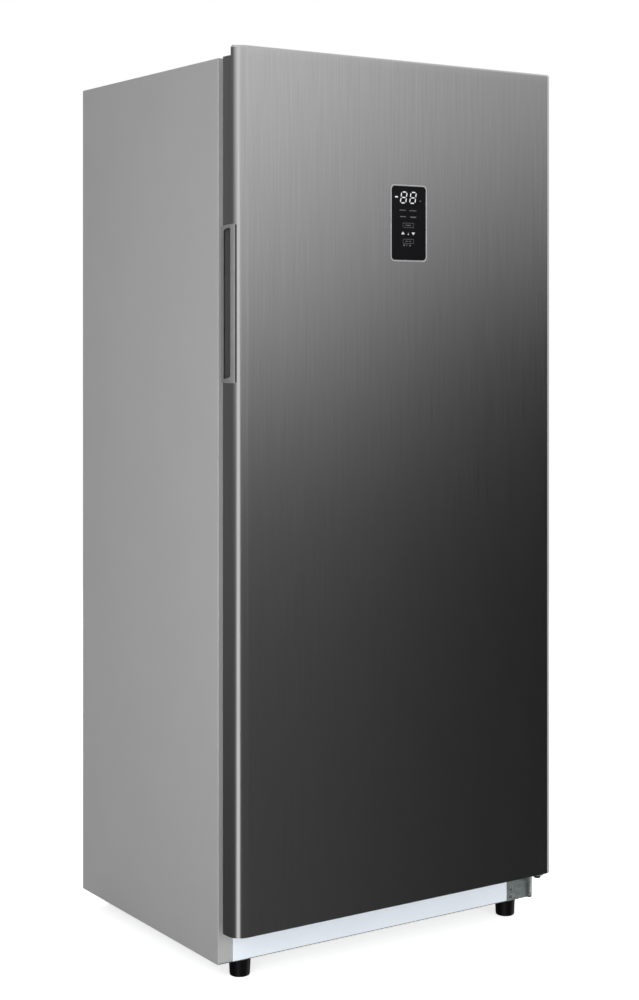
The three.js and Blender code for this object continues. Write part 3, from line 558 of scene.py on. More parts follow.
# %% Clear and black glass
shelf_glass = finish("toughened_float_glass", "#E8F3EF", "#EEF6F3", (0.0, 0.03), 25, 60, IOR=1.52,
                     Transmission_Weight=1, Alpha=0.6)
clear_san = finish("clear_san_plastic", "#F2F7FA", "#F7FAFC", (0.03, 0.07), 25, 60, IOR=1.57,
                   Transmission_Weight=1, Alpha=0.45)
touch_glass = finish("black_printed_touch_glass", "#08080B", "#0B0B0E", (0.05, 0.09), 12, 20, IOR=1.52,
                     Specular_IOR_Level=0.2)

# %% [markdown]
# The digits are light-emitting segments, white with a breath of blue, and the marks below them are pale
# grey print that is lit faintly from behind.

# %% Lit digits and printed marks
unlit = colour("#202022")
digit_light = finish("white_led_segment", "#E9EDF2", "#FFFFFF", (0.4, 0.5), 2, 3, target="Emission Color",
                     Base_Color=unlit, Emission_Strength=0.95)
arrow_light = finish("lit_touch_arrow", "#E4E4E6", "#EEEEF0", (0.4, 0.5), 2, 3, target="Emission Color",
                     Base_Color=unlit, Emission_Strength=0.9)
faint_print = finish("grey_printed_mark", "#4E4E52", "#58585C", (0.4, 0.5), 2, 3)
print("Finishes:", len(bpy.data.materials))

# %% [markdown]
# ## Studio
# The floor and the sky are white. The light is a pale room with three large soft lamps. Bare metal
# shows the studio it stands in: in the photograph it mirrors a room that is bright above and to the
# left and dark below, with a tall strip of light on each side that draws the bright lines down the
# door's corners. Rays that bounce off metal or pass through glass therefore see that studio.

# %% Directions in the studio
world = bpy.data.worlds.new("studio")
bpy.context.scene.world = world
world.use_nodes = True
sky = world.node_tree
sky.nodes.clear()
towards = add(sky, "ShaderNodeSeparateXYZ", {0: add(sky, "ShaderNodeTexCoord").outputs["Generated"]})
front = add(sky, "ShaderNodeMath", {0: towards.outputs["Y"], 1: -1}, operation="MULTIPLY")
bearing = add(sky, "ShaderNodeMath", {0: towards.outputs["X"], 1: front.outputs[0]}, operation="ARCTAN2")
azimuth = add(sky, "ShaderNodeMath", {0: bearing.outputs[0]}, operation="DEGREES")
rise = add(sky, "ShaderNodeMath", {0: towards.outputs["Z"]}, operation="ARCSINE")
height = add(sky, "ShaderNodeMath", {0: rise.outputs[0]}, operation="DEGREES")

# %% [markdown]
# The room's brightness is drawn as strips of grey, each a ramp over a span of degrees. Upwards, one
# strip runs from the floor to the ceiling for the left part of the front, and a darker one for its
# right part. The strip for the back of the room is dark up to a lit ceiling, which shows on edges that
# face upwards. Others go round the room: `strips` holds the two tall lights, and `beside_strip` keeps
# the room between them a little darker, so that the lights stay clean lines. The azimuth is 0 straight
# in front of the door, negative to its left and positive to its right.

# %% Brightness of the studio


def grey_strip(amount, low, high, *stops):
    """A ramp of grey over a span of degrees, from pairs of degrees and linear brightness."""
    share = add(sky, "ShaderNodeMapRange", {"Value": amount, "From Min": low, "From Max": high})
    ramp = add(sky, "ShaderNodeValToRGB", {"Fac": share.outputs[0]})
    while len(ramp.color_ramp.elements) < len(stops):
        ramp.color_ramp.elements.new(0.5)
    for element, (degrees, level) in zip(ramp.color_ramp.elements, stops):
        element.position = (degrees - low) / (high - low)
        element.color = (level, level, level, 1)
    return ramp.outputs[0]


up, around = height.outputs[0], azimuth.outputs[0]
front_left = grey_strip(up, -40, 20, (-40, 0.05), (-20, 0.09), (-14, 0.1), (-10, 0.118), (-6, 0.17),
                        (-4, 0.25), (-2, 0.37), (0, 0.53), (3, 0.7), (7, 0.87), (12, 1), (20, 1))
front_right = grey_strip(up, -40, 20, (-40, 0.02), (-16, 0.018), (-11, 0.013), (-7, 0.009), (-4, 0.008),
                         (-2.5, 0.011), (-1, 0.025), (1, 0.088), (4, 0.24), (7, 0.4), (12, 0.59),
                         (20, 0.76))
behind = grey_strip(up, -25, 50, (-25, 0.05), (-16, 0.07), (-5, 0.12), (6, 0.14), (22, 0.2), (36, 1),
                    (50, 1))
is_behind = grey_strip(around, -180, 180, (-180, 0), (-170, 0), (-162, 1), (-90, 1), (-58, 0))
strips = grey_strip(around, -70, 110, (-70, 0), (-60, 0.55), (-53, 1), (-37, 1), (-31, 0),
                    (60, 0), (64, 1), (88, 1), (96, 0.3), (110, 0))
is_right = grey_strip(around, 20, 140, (20, 0), (31, 0), (38.5, 1), (80, 1), (130, 0))
beside_strip = grey_strip(around, -60, 40, (-60, 1), (-58, 1), (-50, 0.86), (14, 0.86), (33, 1), (40, 1))
left_room = add(sky, "ShaderNodeMath", {0: front_left, 1: beside_strip}, operation="MULTIPLY")
front_room = add(sky, "ShaderNodeMix", {"Factor": is_right, "A": left_room.outputs[0], "B": front_right})
front_and_back = add(sky, "ShaderNodeMix", {"Factor": is_behind, "A": front_room.outputs[0], "B": behind})
shown = add(sky, "ShaderNodeMath", {0: front_and_back.outputs[0], 1: strips}, operation="MAXIMUM")

# %% [markdown]
# The camera sees plain white, also through glass. Metal and gloss mirror the studio, and everything
# else is lit by a pale room.

# %% World
room_light = 0.38
ray = add(sky, "ShaderNodeLightPath")
lit = add(sky, "ShaderNodeMix", {
    "Factor": ray.outputs["Is Glossy Ray"], "A": room_light, "B": shown.outputs[0],
})
straight = add(sky, "ShaderNodeMath", {
    0: ray.outputs["Is Camera Ray"], 1: ray.outputs["Is Transmission Ray"],
}, operation="MAXIMUM")
final = add(sky, "ShaderNodeMix", {"Factor": straight.outputs[0], "A": lit.outputs[0], "B": 1})
background = add(sky, "ShaderNodeBackground", {"Strength": final.outputs[0], "Color": (1, 1, 1, 1)})
add(sky, "ShaderNodeOutputWorld", {"Surface": background.outputs[0]})

# %% [markdown]
# ## Lamps and floor
# A large soft lamp stands in front. A second one stands closer, in front of the left corner, so the
# side is lightest near the door and fades evenly towards the back. A third one, high behind on the
# right, lights the three sides that the photograph doesn't show. None of them shows in the steel,
# because the studio above already draws what the steel mirrors.

# %% Lamps


def lamp(name, place, target, width, height, watts):
    """A soft rectangular lamp, its place and the point it faces in metres."""
    drawing = bpy.data.lights.new(name, "AREA")
    drawing.shape, drawing.size, drawing.size_y = "RECTANGLE", width, height
    drawing.energy = watts
    fresh = bpy.data.objects.new(name, drawing)
    fresh.location = place
    fresh.rotation_euler = (Vector(target) - Vector(place)).to_track_quat("-Z", "Y").to_euler()
    fresh.visible_glossy = False
    bpy.context.scene.collection.objects.link(fresh)


lamp("front_softbox", (0.8, -5.0, 1.1), (0, 0, 0.8), 3.0, 2.2, 101)
lamp("left_softbox", (-2.3, -1.85, 1.1), (0, 0, 0.95), 1.0, 3.2, 52)
lamp("rear_softbox", (2.6, 3.2, 2.8), (0, 0, 1.1), 3.0, 2.2, 150)
print("Lamps: 3")

# %% [markdown]
# The floor is matt white. To the camera it also glows a little, so that it meets the white sky without
# a line, and the freezer's shadow still shows on it.

# %% Floor


def pale_floor():
    fresh = finish("pale_studio_floor", "#E8E8E8", "#EAEAEA", (0.85, 0.95), 50, 300, Specular_IOR_Level=0.1,
                   Emission_Color=(1, 1, 1, 1))
    tree = fresh.node_tree
    floor_glow = 0.72
    seen = add(tree, "ShaderNodeLightPath").outputs["Is Camera Ray"]
    glow = add(tree, "ShaderNodeMath", {0: seen, 1: floor_glow}, operation="MULTIPLY")
    tree.links.new(glow.outputs[0], tree.nodes["Principled BSDF"].inputs["Emission Strength"])
    return fresh


only(None)
bpy.ops.mesh.primitive_plane_add(size=60)
floor = settle("floor")
floor.data.materials.append(pale_floor())
floor.visible_glossy = False
floor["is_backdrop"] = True
print("Floor:", floor.name)

# %% [markdown]
# ## The door's steel sheet
# One sheet of brushed steel is folded round the front and both sides. Its left corner is a wide curve
# and its right one a tight curve. Along the top the front rises 21 mm above the cabinet as a lip, thinner
# over the hinge so that it can swing past it. It starts as a box: corners first, then the lip is
# pulled up, and last the back is opened and the wall gets its 1 mm of thickness.

# %% Door sheet
hinge = Vector(next(j for j in frame["joints"] if j["name"] == "door_hinge")["pos_m"]) / MM
left_corner, right_corner = 32, 16
lip_rear, notch_rear = door_front + 21, door_front + 8
notch_start = hinge.x - 40
lip_top = skin_high.z - 0.2
rear_fold = 14
cup_low, cup_high = span("handle_cup")
pocket_low, pocket_high = cup_low - Vector((0, 0, 11.5)), cup_high + Vector((0, 0, 6.5))


def door_sheet():
    sheet = block("door_front_sheet", skin_low, (skin_high.x, door_rear, cabinet_top))
    for side, radius, steps in ((skin_low.x, left_corner, 20), (skin_high.x, right_corner, 12)):
        round_edges(sheet, upright(side, door_front), radius, steps)
        round_edges(sheet, upright(side, door_rear), 3, 4)
    cut(sheet, X, notch_start)
    cut(sheet, Y, lip_rear)
    cut(sheet, Y, notch_rear, test=lambda f: middle_of(f).x > notch_start)

    def on_lip(face):
        spot = middle_of(face)
        depth = lip_rear if spot.x < notch_start else notch_rear
        return at(face, Z, cabinet_top) and face.normal.z > 0.9 and spot.y < depth

    def top_edge(edge):
        in_notch = at(edge, Y, notch_rear) or at(edge, X, notch_start)
        return at(edge, Z, lip_top) and edge.calc_face_angle(0) > 1 and not in_notch

    pull(sheet, on_lip, (0, 0, lip_top - cabinet_top))
    round_edges(sheet, top_edge, 5, 5)
    remove(sheet, lambda f: at(f, Z, skin_low.z) or (at(f, Z, cabinet_top) and f.normal.z > 0.9))
    cut(sheet, X, skin_low.x + rear_fold, skin_high.x - rear_fold, test=lambda f: at(f, Y, door_rear))
    remove(sheet, lambda f: at(f, Y, door_rear) and abs(middle_of(f).x) < skin_high.x - rear_fold)
    modify(sheet, "SOLIDIFY", thickness=1 * MM, offset=-1)
    cup_lap, rim_lap = 1.5, 1.8
    pocket = block("pocket", (cup_low.x - overshoot, cup_low.y + cup_lap, pocket_low.z + cup_lap),
                   (cup_low.x + 20, cup_high.y - cup_lap, pocket_high.z - cup_lap))
    rim_low, rim_high = span("control_panel_frame")
    window = block("window", (rim_low.x + rim_lap, door_front - overshoot, rim_low.z + rim_lap),
                   (rim_high.x - rim_lap, door_front + overshoot, rim_high.z - rim_lap))
    round_edges(window, lambda e: along(e, Y), 6.5, 6)
    return carve(sheet, pocket, window)


finished(door_sheet(), "door", stainless, "brushed_stainless_steel", "door_skin")
print("Door sheet:", len(made[-1].data.polygons), "faces")

# %% [markdown]
# Moulded caps close the sheet above and below and hold the bushes that the hinge pins turn in. They
# are boxes with the sheet's own corners, set in by the thickness of the steel. The upper one ends just
# below the sheet's top, under the lip.

# %% Door end caps


def end_cap(name, node):
    """A cap with the sheet's corners and the hole for its bush."""
    low, high = span(node)
    top = min(high.z, cabinet_top - 0.3)
    set_in, bush_radius = 1.3, 8.6
    cap = block(name, low, (high.x, high.y, top))
    for side, radius, steps in ((low.x, left_corner - set_in, 12), (high.x, right_corner - set_in, 10)):
        round_edges(cap, upright(side, low.y), radius, steps)
    bore = [(bush_radius, low.z - overshoot), (bush_radius, top + overshoot)]
    return soften(carve(cap, turned("hole", (hinge.x, hinge.y, 0), bore, 32)), 0.6)


for name, node in (("door_upper_end_cap", "door_top_cap"), ("door_lower_end_cap", "door_bottom_cap")):
    finished(end_cap(name, node), "door", grey_abs, "dark_grey_plastic", node)
dressed(white_polystyrene, "upper_hinge_bush", "lower_hinge_bush")
dressed(insulating_foam, "cabinet_insulation")
dressed(circuit_board, "display_board")
foam_gap = Vector((0.5, 0.5, 0.5))
cavity = block("cavity", pocket_low - foam_gap - Vector((5, 0, 0)), pocket_high + foam_gap)
finished(carve(copy_of("door_insulation", "door_foam"), cavity), "door", insulating_foam, "insulation_foam",
         "door_insulation")
print("Caps follow the sheet's corners")

# %% [markdown]
# ## The pocket handle
# A satin bezel stands 3 mm proud of the steel and wraps part of the way round the corner. It is cut
# from a block whose corner is as much wider as the bezel is proud. Its upper end and both ends of its
# opening slope up towards the front. A thin black strip under it is painted shade: it draws the shadow
# gap as a dark line along its front edge. Behind it a dark cup forms the pocket, a little longer than in
# the frame.

# %% Handle bezel and cup
bezel_drop, bezel_rise, opening_rise = 6, 5, 4.6


def wrapped_plate(name, proud, edge, shorter):
    """A plate that wraps round the door's corner, wider than the bezel in front and shorter at its ends."""
    low, high = span("handle_bezel")
    bottom, top, front = low.z - bezel_drop + shorter, high.z + bezel_rise - shorter, low.y - edge
    corner = (skin_low.x - proud, door_front - proud)
    bar = block(name, (*corner, bottom), (low.x + 60, high.y, top))
    choose(bar, "edges", lambda e: at(e, Z, top) and at(e, Y, high.y))
    bpy.ops.transform.translate(value=(0, 0, -bezel_rise * MM))
    round_edges(bar, upright(*corner), left_corner + proud, 20)
    gap = 0.3
    skin = (skin_low.x - gap, door_front - gap)
    door_body = block("door_body", (*skin, bottom - overshoot), (0, high.y + overshoot, top + overshoot))
    round_edges(door_body, upright(*skin), left_corner + gap, 20)
    ahead = block("ahead", (low.x - overshoot, door_front - 30, bottom - overshoot),
                  (0, front, top + overshoot))
    opening = block("opening", (low.x - overshoot, cup_low.y + 1.5, pocket_low.z + 2.5),
                    (low.x + 40, cup_high.y - 4.5, pocket_high.z - 7))
    choose(opening, "faces", faces(Y, -1))
    bpy.ops.transform.translate(value=(0, 0, opening_rise * MM))
    round_edges(opening, lambda e: along(e, X), 5, 6)
    return carve(bar, door_body, ahead, opening)


def handle_pocket():
    low, high = pocket_low, pocket_high
    wall, mouth = 2, low.x + 1.2
    cup = block("handle_pocket_cup", (mouth, low.y + wall, low.z + wall),
                (high.x - wall, high.y - wall, high.z - wall))
    remove(cup, lambda f: at(f, X, mouth))
    round_edges(cup, lambda e: not e.is_boundary and e.calc_face_angle(0) > 1, 7, 6)
    return modify(cup, "SOLIDIFY", thickness=wall * MM, offset=1)


bezel_proud = skin_low.x - span("handle_bezel")[0].x
surround = soften(wrapped_plate("handle_surround", bezel_proud, 0, 0), 1.3, 4, 40)
finished(surround, "door", silver_lacquer, "satin_silver_plastic", "handle_bezel")
# Painted shade: a black strip under the bezel's front edge draws the dark shadow line there.
finished(wrapped_plate("handle_foam_tape", 1, 1.4, 1.5), "door", black_polypropylene, "black_foot_plastic")
finished(handle_pocket(), "door", grey_abs, "dark_grey_plastic", "handle_cup")
print("Handle height:", round(span("handle_bezel")[1].z - span("handle_bezel")[0].z), "mm")

# %% [markdown]
# ## The touch display
# The display is a shallow lacquered tray with a black glass in its mouth. The glass is flat, so nothing
# in it travels when it is touched. The frame is a plate with rounded corners, cut out for the glass. The
# glass is drawn a millimetre larger all round than in the frame, which leaves the thin rim of the real one.

# %% Display frame and glass
panel_low, panel_high = span("control_panel_frame")
glass_low, glass_high = span("control_panel_glass")
glass_reach = 1.1


def plate_with_corners(name, low, high, radius, steps=8):
    """A plate that faces front, with its four corners rounded."""
    plate = block(name, low, high)
    round_edges(plate, lambda e: along(e, Y), radius, steps)
    return plate


glass_low -= Vector((glass_reach, 0, glass_reach))
glass_high += Vector((glass_reach, 0, glass_reach))


def display_frame():
    rim = plate_with_corners("display_rim", panel_low, (panel_high.x, door_front - 0.3, panel_high.z), 10)
    gap = 0.2
    hole = plate_with_corners("hole", (glass_low.x - gap, panel_low.y - overshoot, glass_low.z - gap),
                              (glass_high.x + gap, door_front + overshoot, glass_high.z + gap), 8.1)
    return soften(carve(rim, hole), 0.5, 3)


def display_glass():
    glass = plate_with_corners("display_touch_glass", glass_low, glass_high, 7.9)
    return soften(glass, 0.35, 3)


finished(display_frame(), "door", bright_lacquer, "satin_silver_plastic", "control_panel_frame")
finished(display_glass(), "door", touch_glass, "black_panel_glass", "control_panel_glass")

# %% [markdown]
# ### Digits and marks
# The digits are seven slanted bars each, the way a segment display builds every number. The marks below
# them are plain bars, boxes and arrows that stand for its keys. All are drawn from the frame's upper left
# corner, across and down in millimetres, and lie 0.15 mm proud of the glass.

# %% Bars, boxes and arrows of the display
print_depth = 0.15
slant = 9


def spot_on_panel(across, down):
    """The X and Z of a spot on the display."""
    return panel_low.x + across, panel_high.z - down


def bar_mark(name, across, down, width, height, point=0.0, lean=0):
    """A flat bar centred on a spot, its ends pointed or rounded, and leaning if asked."""
    x, z = spot_on_panel(across, down)
    front, rear = glass_low.y - print_depth, glass_low.y - 0.01
    mark = block(name, (x - width / 2, front, z - height / 2), (x + width / 2, rear, z + height / 2))
    if point:
        round_edges(mark, lambda e: along(e, Y), point, 2)
    if lean:
        turn(mark, lean, "Y", (x, front, z))
    return mark


def digit(across, down):
    """All seven bars of a digit centred on a spot."""
    half_width, half_height, stroke = 7.1, 11.7, 2.3
    drift = math.tan(math.radians(slant)) * half_height
    bars = []
    for level in (-1, 0, 1):
        bars.append(bar_mark("bar", across - level * drift, down + level * half_height,
                             2 * half_width - 4.8, stroke, 1.1))
    for side in (-1, 1):
        for level in (-0.5, 0.5):
            bars.append(bar_mark("bar", across + side * half_width - level * drift,
                                 down + level * half_height, stroke, half_height - 2.9, 1.1, slant))
    return bars


def outline_box(across, down, width, height):
    """A thin rounded frame, drawn as one plate cut out of another."""
    outer = bar_mark("key", across, down, width, height, 1.8)
    x, z = spot_on_panel(across, down)
    line = 0.9
    half_width, half_height = width / 2 - line, height / 2 - line
    inner = plate_with_corners("inner", (x - half_width, glass_low.y - overshoot, z - half_height),
                               (x + half_width, glass_low.y + overshoot, z + half_height), 1, 2)
    return carve(outer, inner)


def arrow(across, down, size, up):
    """A triangle: a flat disc of three sides."""
    x, z = spot_on_panel(across, down)
    mark = turned("arrow", (0, 0, 0), [(size, 0), (size, print_depth)], 3)
    turn(mark, 90, "X")
    choose(mark, "faces", lambda f: True)
    bpy.ops.transform.resize(value=(1, 1, 0.75))
    if not up:
        turn(mark, 180, "Y")
    choose(mark, "faces", lambda f: True)
    bpy.ops.transform.translate(value=(x * MM, (glass_low.y - 0.01) * MM, z * MM))
    only(mark)
    return mark


digits = digit(34.9, 27.6) + digit(59.5, 27.6) + [bar_mark("bar", 15.8, 26.8, 7.8, 2.8, 1.2)]
finished(merge("display_digits", digits), "door", digit_light, "frosted_clear_plastic")
arrows = [arrow(32.8, 105, 5.1, True), arrow(60.4, 103.8, 5.1, False),
          bar_mark("bar", 47, 106.4, 2.6, 2.4, 0.8)]
finished(merge("display_arrows", arrows), "door", arrow_light, "frosted_clear_plastic")
labels = [(32.2, 55, 17, 2), (59.4, 55.4, 19, 2), (32.8, 68.8, 15, 2), (59.8, 69.2, 16, 3),
          (46.4, 87.2, 15, 2.2), (42.6, 121.4, 6, 1.8), (51.4, 121.4, 6, 1.8), (36, 130, 5, 3),
          (43, 130, 2.4, 3), (51.6, 130.4, 4.6, 3.4), (78.8, 34, 4.4, 2.4), (47, 102.6, 1.8, 2.2)]
marks = [bar_mark("mark", *place, 0.7) for place in labels]
marks += [outline_box(47, 87.1, 29, 10.5), outline_box(47.4, 121.5, 29, 9.8)]
finished(merge("display_printed_marks", marks), "door", faint_print, "frosted_clear_plastic")
print("Display bars:", len(digits), "marks:", len(marks))

# %% [markdown]
# ## The cabinet's steel sheet
# The cabinet is one painted sheet bent to a U upside down: both sides and the top, with a flange turned
# inwards along the front. A box becomes the sheet when its folds are rounded, its open faces are
# removed and what is left gets the thickness of steel.

# %% Cabinet sheet
shell_wall, fold_radius = 1.2, 2.6
flange_width = 42


def cabinet_sheet():
    sheet = block("cabinet_folded_sheet", shell_low, shell_high)
    round_edges(sheet, lambda e: at(e, Y, cabinet_front) or at(e, Z, cabinet_top) or at(e, Y, shell_high.y),
                fold_radius, 4)
    mouth = shell_high.x - flange_width
    cut(sheet, X, -mouth, mouth)
    cut(sheet, Z, cabinet_top - flange_width)

    def open_face(face):
        spot = middle_of(face)
        inside = abs(spot.x) < mouth and spot.z < cabinet_top - flange_width
        return (at(face, Y, cabinet_front) and inside) or face.normal.y > 0.9 or spot.z < shell_low.z + 3

    remove(sheet, open_face)
    return modify(sheet, "SOLIDIFY", thickness=shell_wall * MM, offset=-1)


finished(cabinet_sheet(), "cabinet", coil_coated_grey, "grey_painted_steel", "outer_shell")
print("Cabinet:", round(shell_high.z - shell_low.z), "mm tall")

# %% [markdown]
# The back is galvanised sheet with three pressed ribs that keep it from drumming. An inset with a depth
# makes a rib in one step: it shrinks the chosen face and pushes it out, and leaves a sloped wall.

# %% Back sheet with pressed ribs


def back_sheet():
    low, high = span("back_panel")
    rib_height, rib_end, rib_slope, rib_proud = 24, 87, 5, 1
    sheet = block("back_ribbed_sheet", low, (high.x, high.y - rib_proud, high.z))
    levels = (700, 1100, 1500)
    cut(sheet, X, low.x + rib_end, high.x - rib_end)
    for level in levels:
        cut(sheet, Z, level, level + rib_height)
    for level in levels:
        choose(sheet, "faces", lambda f: f.normal.y > 0.9 and abs(middle_of(f).x) < high.x - rib_end
               and within(middle_of(f).z, level, level + rib_height))
        bpy.ops.mesh.inset(thickness=rib_slope * MM, depth=(rib_proud - 0.05) * MM)
    return soften(sheet, 0.5, 2, 8)


finished(back_sheet(), "cabinet", light_zinc_sheet, "zinc_coated_steel", "back_panel")

# %% [markdown]
# The cover over the machine space is punched with 27 slots for air. One slot is drawn with round
# ends, copied to every place, and all of them are cut out at once.

# %% Slotted cover


def moved_copy(piece, name, move):
    """A copy with its own mesh, moved by millimetres."""
    twin = bpy.data.objects.new(name, piece.data.copy())
    bpy.context.scene.collection.objects.link(twin)
    choose(twin, "faces", lambda face: True)
    bpy.ops.transform.translate(value=Vector(move) * MM)
    only(twin)
    return twin


def slotted_cover():
    low, high = span("rear_compartment_cover")
    cover = block("rear_slotted_cover", low, high)
    slot_pitch, slot_half, slot_rise = 84, 32, 5
    levels = (140, 195, 250)
    slot = block("slot", (-slot_half, low.y - overshoot, -slot_rise),
                 (slot_half, high.y + overshoot, slot_rise))
    round_edges(slot, lambda e: along(e, Y), slot_rise - 0.1, 5)
    slots = [moved_copy(slot, "slot", (column * slot_pitch, 0, level))
             for column in range(-4, 5) for level in levels]
    bpy.data.objects.remove(slot)
    inlet_low, inlet_high = span("power_inlet")
    mouth = block("mouth", (inlet_low.x + 6.7, low.y - overshoot, inlet_low.z + 2.7),
                  (inlet_high.x - 6.7, high.y + overshoot, inlet_high.z - 2.7))
    carve(cover, merge("slots", slots), mouth)
    return soften(cover, 0.35)


finished(slotted_cover(), "cabinet", coil_coated_grey, "grey_painted_steel", "rear_compartment_cover")
print("Slots are cut")

# %% [markdown]
# ## Base: kick plate, hinge bracket and screws
# The kick plate is a shallow enamelled pan with folded edges. Its edges are rounded by 0.7 mm, and its
# middle is pressed in by 0.6 mm inside a border of 5 mm, so that the border catches the light.

# %% Kick plate


def kick_pan():
    low, high = span("kick_plate")
    pan = block("kick_plate_pan", low, high)
    border, slope, pressed = 5, 1.5, 0.6
    choose(pan, "faces", faces(Y, -1))
    bpy.ops.mesh.inset(thickness=border * MM, depth=0)
    bpy.ops.mesh.inset(thickness=slope * MM, depth=-pressed * MM)
    return soften(pan, 0.7, 3)


finished(kick_pan(), "cabinet", stove_enamel_white, "white_painted_steel", "kick_plate")
print("Kick plate:", round(span("kick_plate")[1].x - span("kick_plate")[0].x), "mm wide")

# %% [markdown]
# Under the cabinet lies a galvanised tray. Its front is turned up to meet the liner, its sides are low
# walls, and two pairs of ears carry the rollers. The sheets are drawn one by one and welded together.

# %% Base tray


def weld(piece, *others):
    """Joins other pieces to this one and leaves no walls inside."""
    for other in others:
        modify(piece, "BOOLEAN", operation="UNION", object=other, solver="EXACT")
        bpy.data.objects.remove(other)
    return piece


def base_sheets():
    low, high = span("base_tray")
    bottom, wall = shell_low.z, shell_wall
    reach = shell_high.x - flange_width - 0.3
    side_height, ear_spacing, ear_reach = 34, 14, 13
    tray = block("base_tray_sheet", (low.x, low.y + 1.5, bottom), (high.x, high.y, bottom + wall))
    parts = [block("upstand", (-reach, low.y, bottom), (reach, low.y + wall, high.z)),
             block("lip", (-reach, low.y, bottom), (reach, low.y + 3, bottom + wall))]
    for side, sign in (("left", -1), ("right", 1)):
        near, far = sorted((sign * high.x, sign * (high.x - wall)))
        parts.append(block("wall", (near, low.y + 2, bottom), (far, high.y, bottom + side_height)))
        roller = centre_of(f"rear_{side}_roller")
        for x in (roller.x - ear_spacing, roller.x + ear_spacing):
            plate = block("ear", (x - 1, roller.y - ear_reach, low.z),
                          (x + 1, roller.y + ear_reach, bottom + wall))
            round_edges(plate, lambda e: along(e, X) and at(e, Z, low.z), 9, 5)
            parts.append(plate)
    weld(tray, *parts)
    soften(tray, 0.35)
    for side in ("left", "right"):
        foot = centre_of(f"front_{side}_foot")
        carve(tray, turned("stud_hole", (foot.x, foot.y, 0), [(5.6, 20), (5.6, 60)], 24))
    return tray


finished(base_sheets(), "cabinet", zinc_sheet, "zinc_coated_steel", "base_tray")
print("Kick plate and tray are in place")

# %% [markdown]
# The lower hinge bracket carries the door on its arm. Its form in the frame is right, so its copy only
# gets the soft edges of a pressing.

# %% Hinge brackets, pins and cover
for node, name, slot, material, width in (
    ("lower_hinge_bracket", "lower_hinge_pressing", "zinc_coated_steel", zinc_sheet, 0.7),
    ("lower_hinge_pin", "lower_hinge_bolt", "bright_steel", black_enamel, 0.5),
    ("top_hinge_plate", "upper_hinge_pressing", "zinc_coated_steel", zinc_sheet, 0.5),
    ("top_hinge_pin", "upper_hinge_bolt", "bright_steel", zinc_plate, 0.5),
    ("top_hinge_cover", "upper_hinge_cap", "dark_grey_plastic", grey_abs, 1.6),
):
    finished(soften(copy_of(node, name), width, 3), "cabinet", material, slot, node)
print("Pieces so far:", len(made))

# %% [markdown]
# ### Threads and screw heads
# A thread is one zigzag that climbs as it goes round, which is just what the Screw modifier does. The
# real pitch of 1.5 mm would be lost in the picture, so the threads are drawn coarser: 2.4 mm on the
# feet's studs, and 7 mm on the hinge's adjusting screw, whose zigzag is what the eye sees of it.

# %% Threaded screws


def threaded(name, centre, radius, pitch, bottom, top, depth=0.9):
    """A threaded rod on the Z axis, its sizes in millimetres."""
    core = radius - depth
    rounds = int((top - bottom) / pitch) - 1
    ridge = wire(name, [[(core, 0, 0), (radius, 0, pitch / 2), (core, 0, pitch)]], 0)
    modify(ridge, "SCREW", screw_offset=pitch * MM, iterations=rounds, steps=20, render_steps=20,
           use_merge_vertices=True, merge_threshold=0.005 * MM)
    choose(ridge, "faces", lambda face: True)
    bpy.ops.mesh.normals_make_consistent(inside=False)
    bpy.ops.transform.translate(value=(centre[0] * MM, centre[1] * MM, bottom * MM))
    rod = turned("rod", (*centre, 0), [(core - 0.4, bottom), (core + 0.1, bottom + 0.4),
                                       (core + 0.1, top - 0.4), (core - 0.4, top)], 20)
    return merge(name, [rod, ridge])


def adjusting_screw():
    low, high = span("hinge_adjusting_screw")
    centre = centre_of("hinge_adjusting_screw").xy
    thread = threaded("thread", centre, 5.2, 7, low.z + 4.5, high.z, 1.8)
    nut = turned("nut", (*centre, 0), [(5.2, low.z), (6.1, low.z + 0.6), (6.1, low.z + 4.4),
                                       (5.2, low.z + 5)], 6)
    return merge("hinge_height_screw", [nut, thread])


finished(adjusting_screw(), "cabinet", zinc_plate, "bright_steel", "hinge_adjusting_screw")

# %% Pan-head screws


def pan_head(name, head_radius, head_height, shank_radius, shank_length):
    """A screw on the Z axis, its head upwards and its seat at zero, with a cross for the driver."""
    rim = head_height * 0.35
    screw = turned(name, (0, 0, 0), [
        (shank_radius - 0.8, -shank_length), (shank_radius, 1.5 - shank_length), (shank_radius, -0.01),
        (head_radius, 0), (head_radius, rim), (head_radius * 0.93, head_height * 0.72),
        (head_radius * 0.74, head_height * 0.93), (head_radius * 0.45, head_height),
    ], 28)
    reach, half = head_radius * 0.62, head_radius * 0.13
    slots = []
    for across, deep in ((reach, half), (half, reach)):
        slots.append(block("slot", (-across, -deep, rim), (across, deep, head_height + overshoot)))
    return carve(screw, *slots)


seat = cabinet_front - 3.6
bracket_head = turn(pan_head("bracket_head", 5.3, 2.4, 2.6, 14), 90, "X")
for number, node in enumerate(("bracket_screw_upper", "bracket_screw_lower"), 1):
    place = centre_of(node)
    place.y = seat
    finished(moved_copy(bracket_head, f"bracket_pan_screw_{number}", place),
             "cabinet", zinc_plate, "bright_steel", node)
bpy.data.objects.remove(bracket_head)

nub_height = 4.2
nub = turn(pan_head("nub", 4.9, nub_height, 2.6, 13), 180, "X")
place = centre_of("underside_screw")
place.z = span("underside_screw")[0].z + nub_height
finished(moved_copy(nub, "underside_pan_screw", place), "cabinet", black_polypropylene,
         "black_foot_plastic", "underside_screw")
bpy.data.objects.remove(nub)
print("Screws are in place")

# %% [markdown]
# ## Feet and rollers
# A levelling foot is a moulded cone on a threaded stud: turning it raises that corner. It is turned from
# its outline like a chess piece. The rollers behind are hubs with a rounded tread.

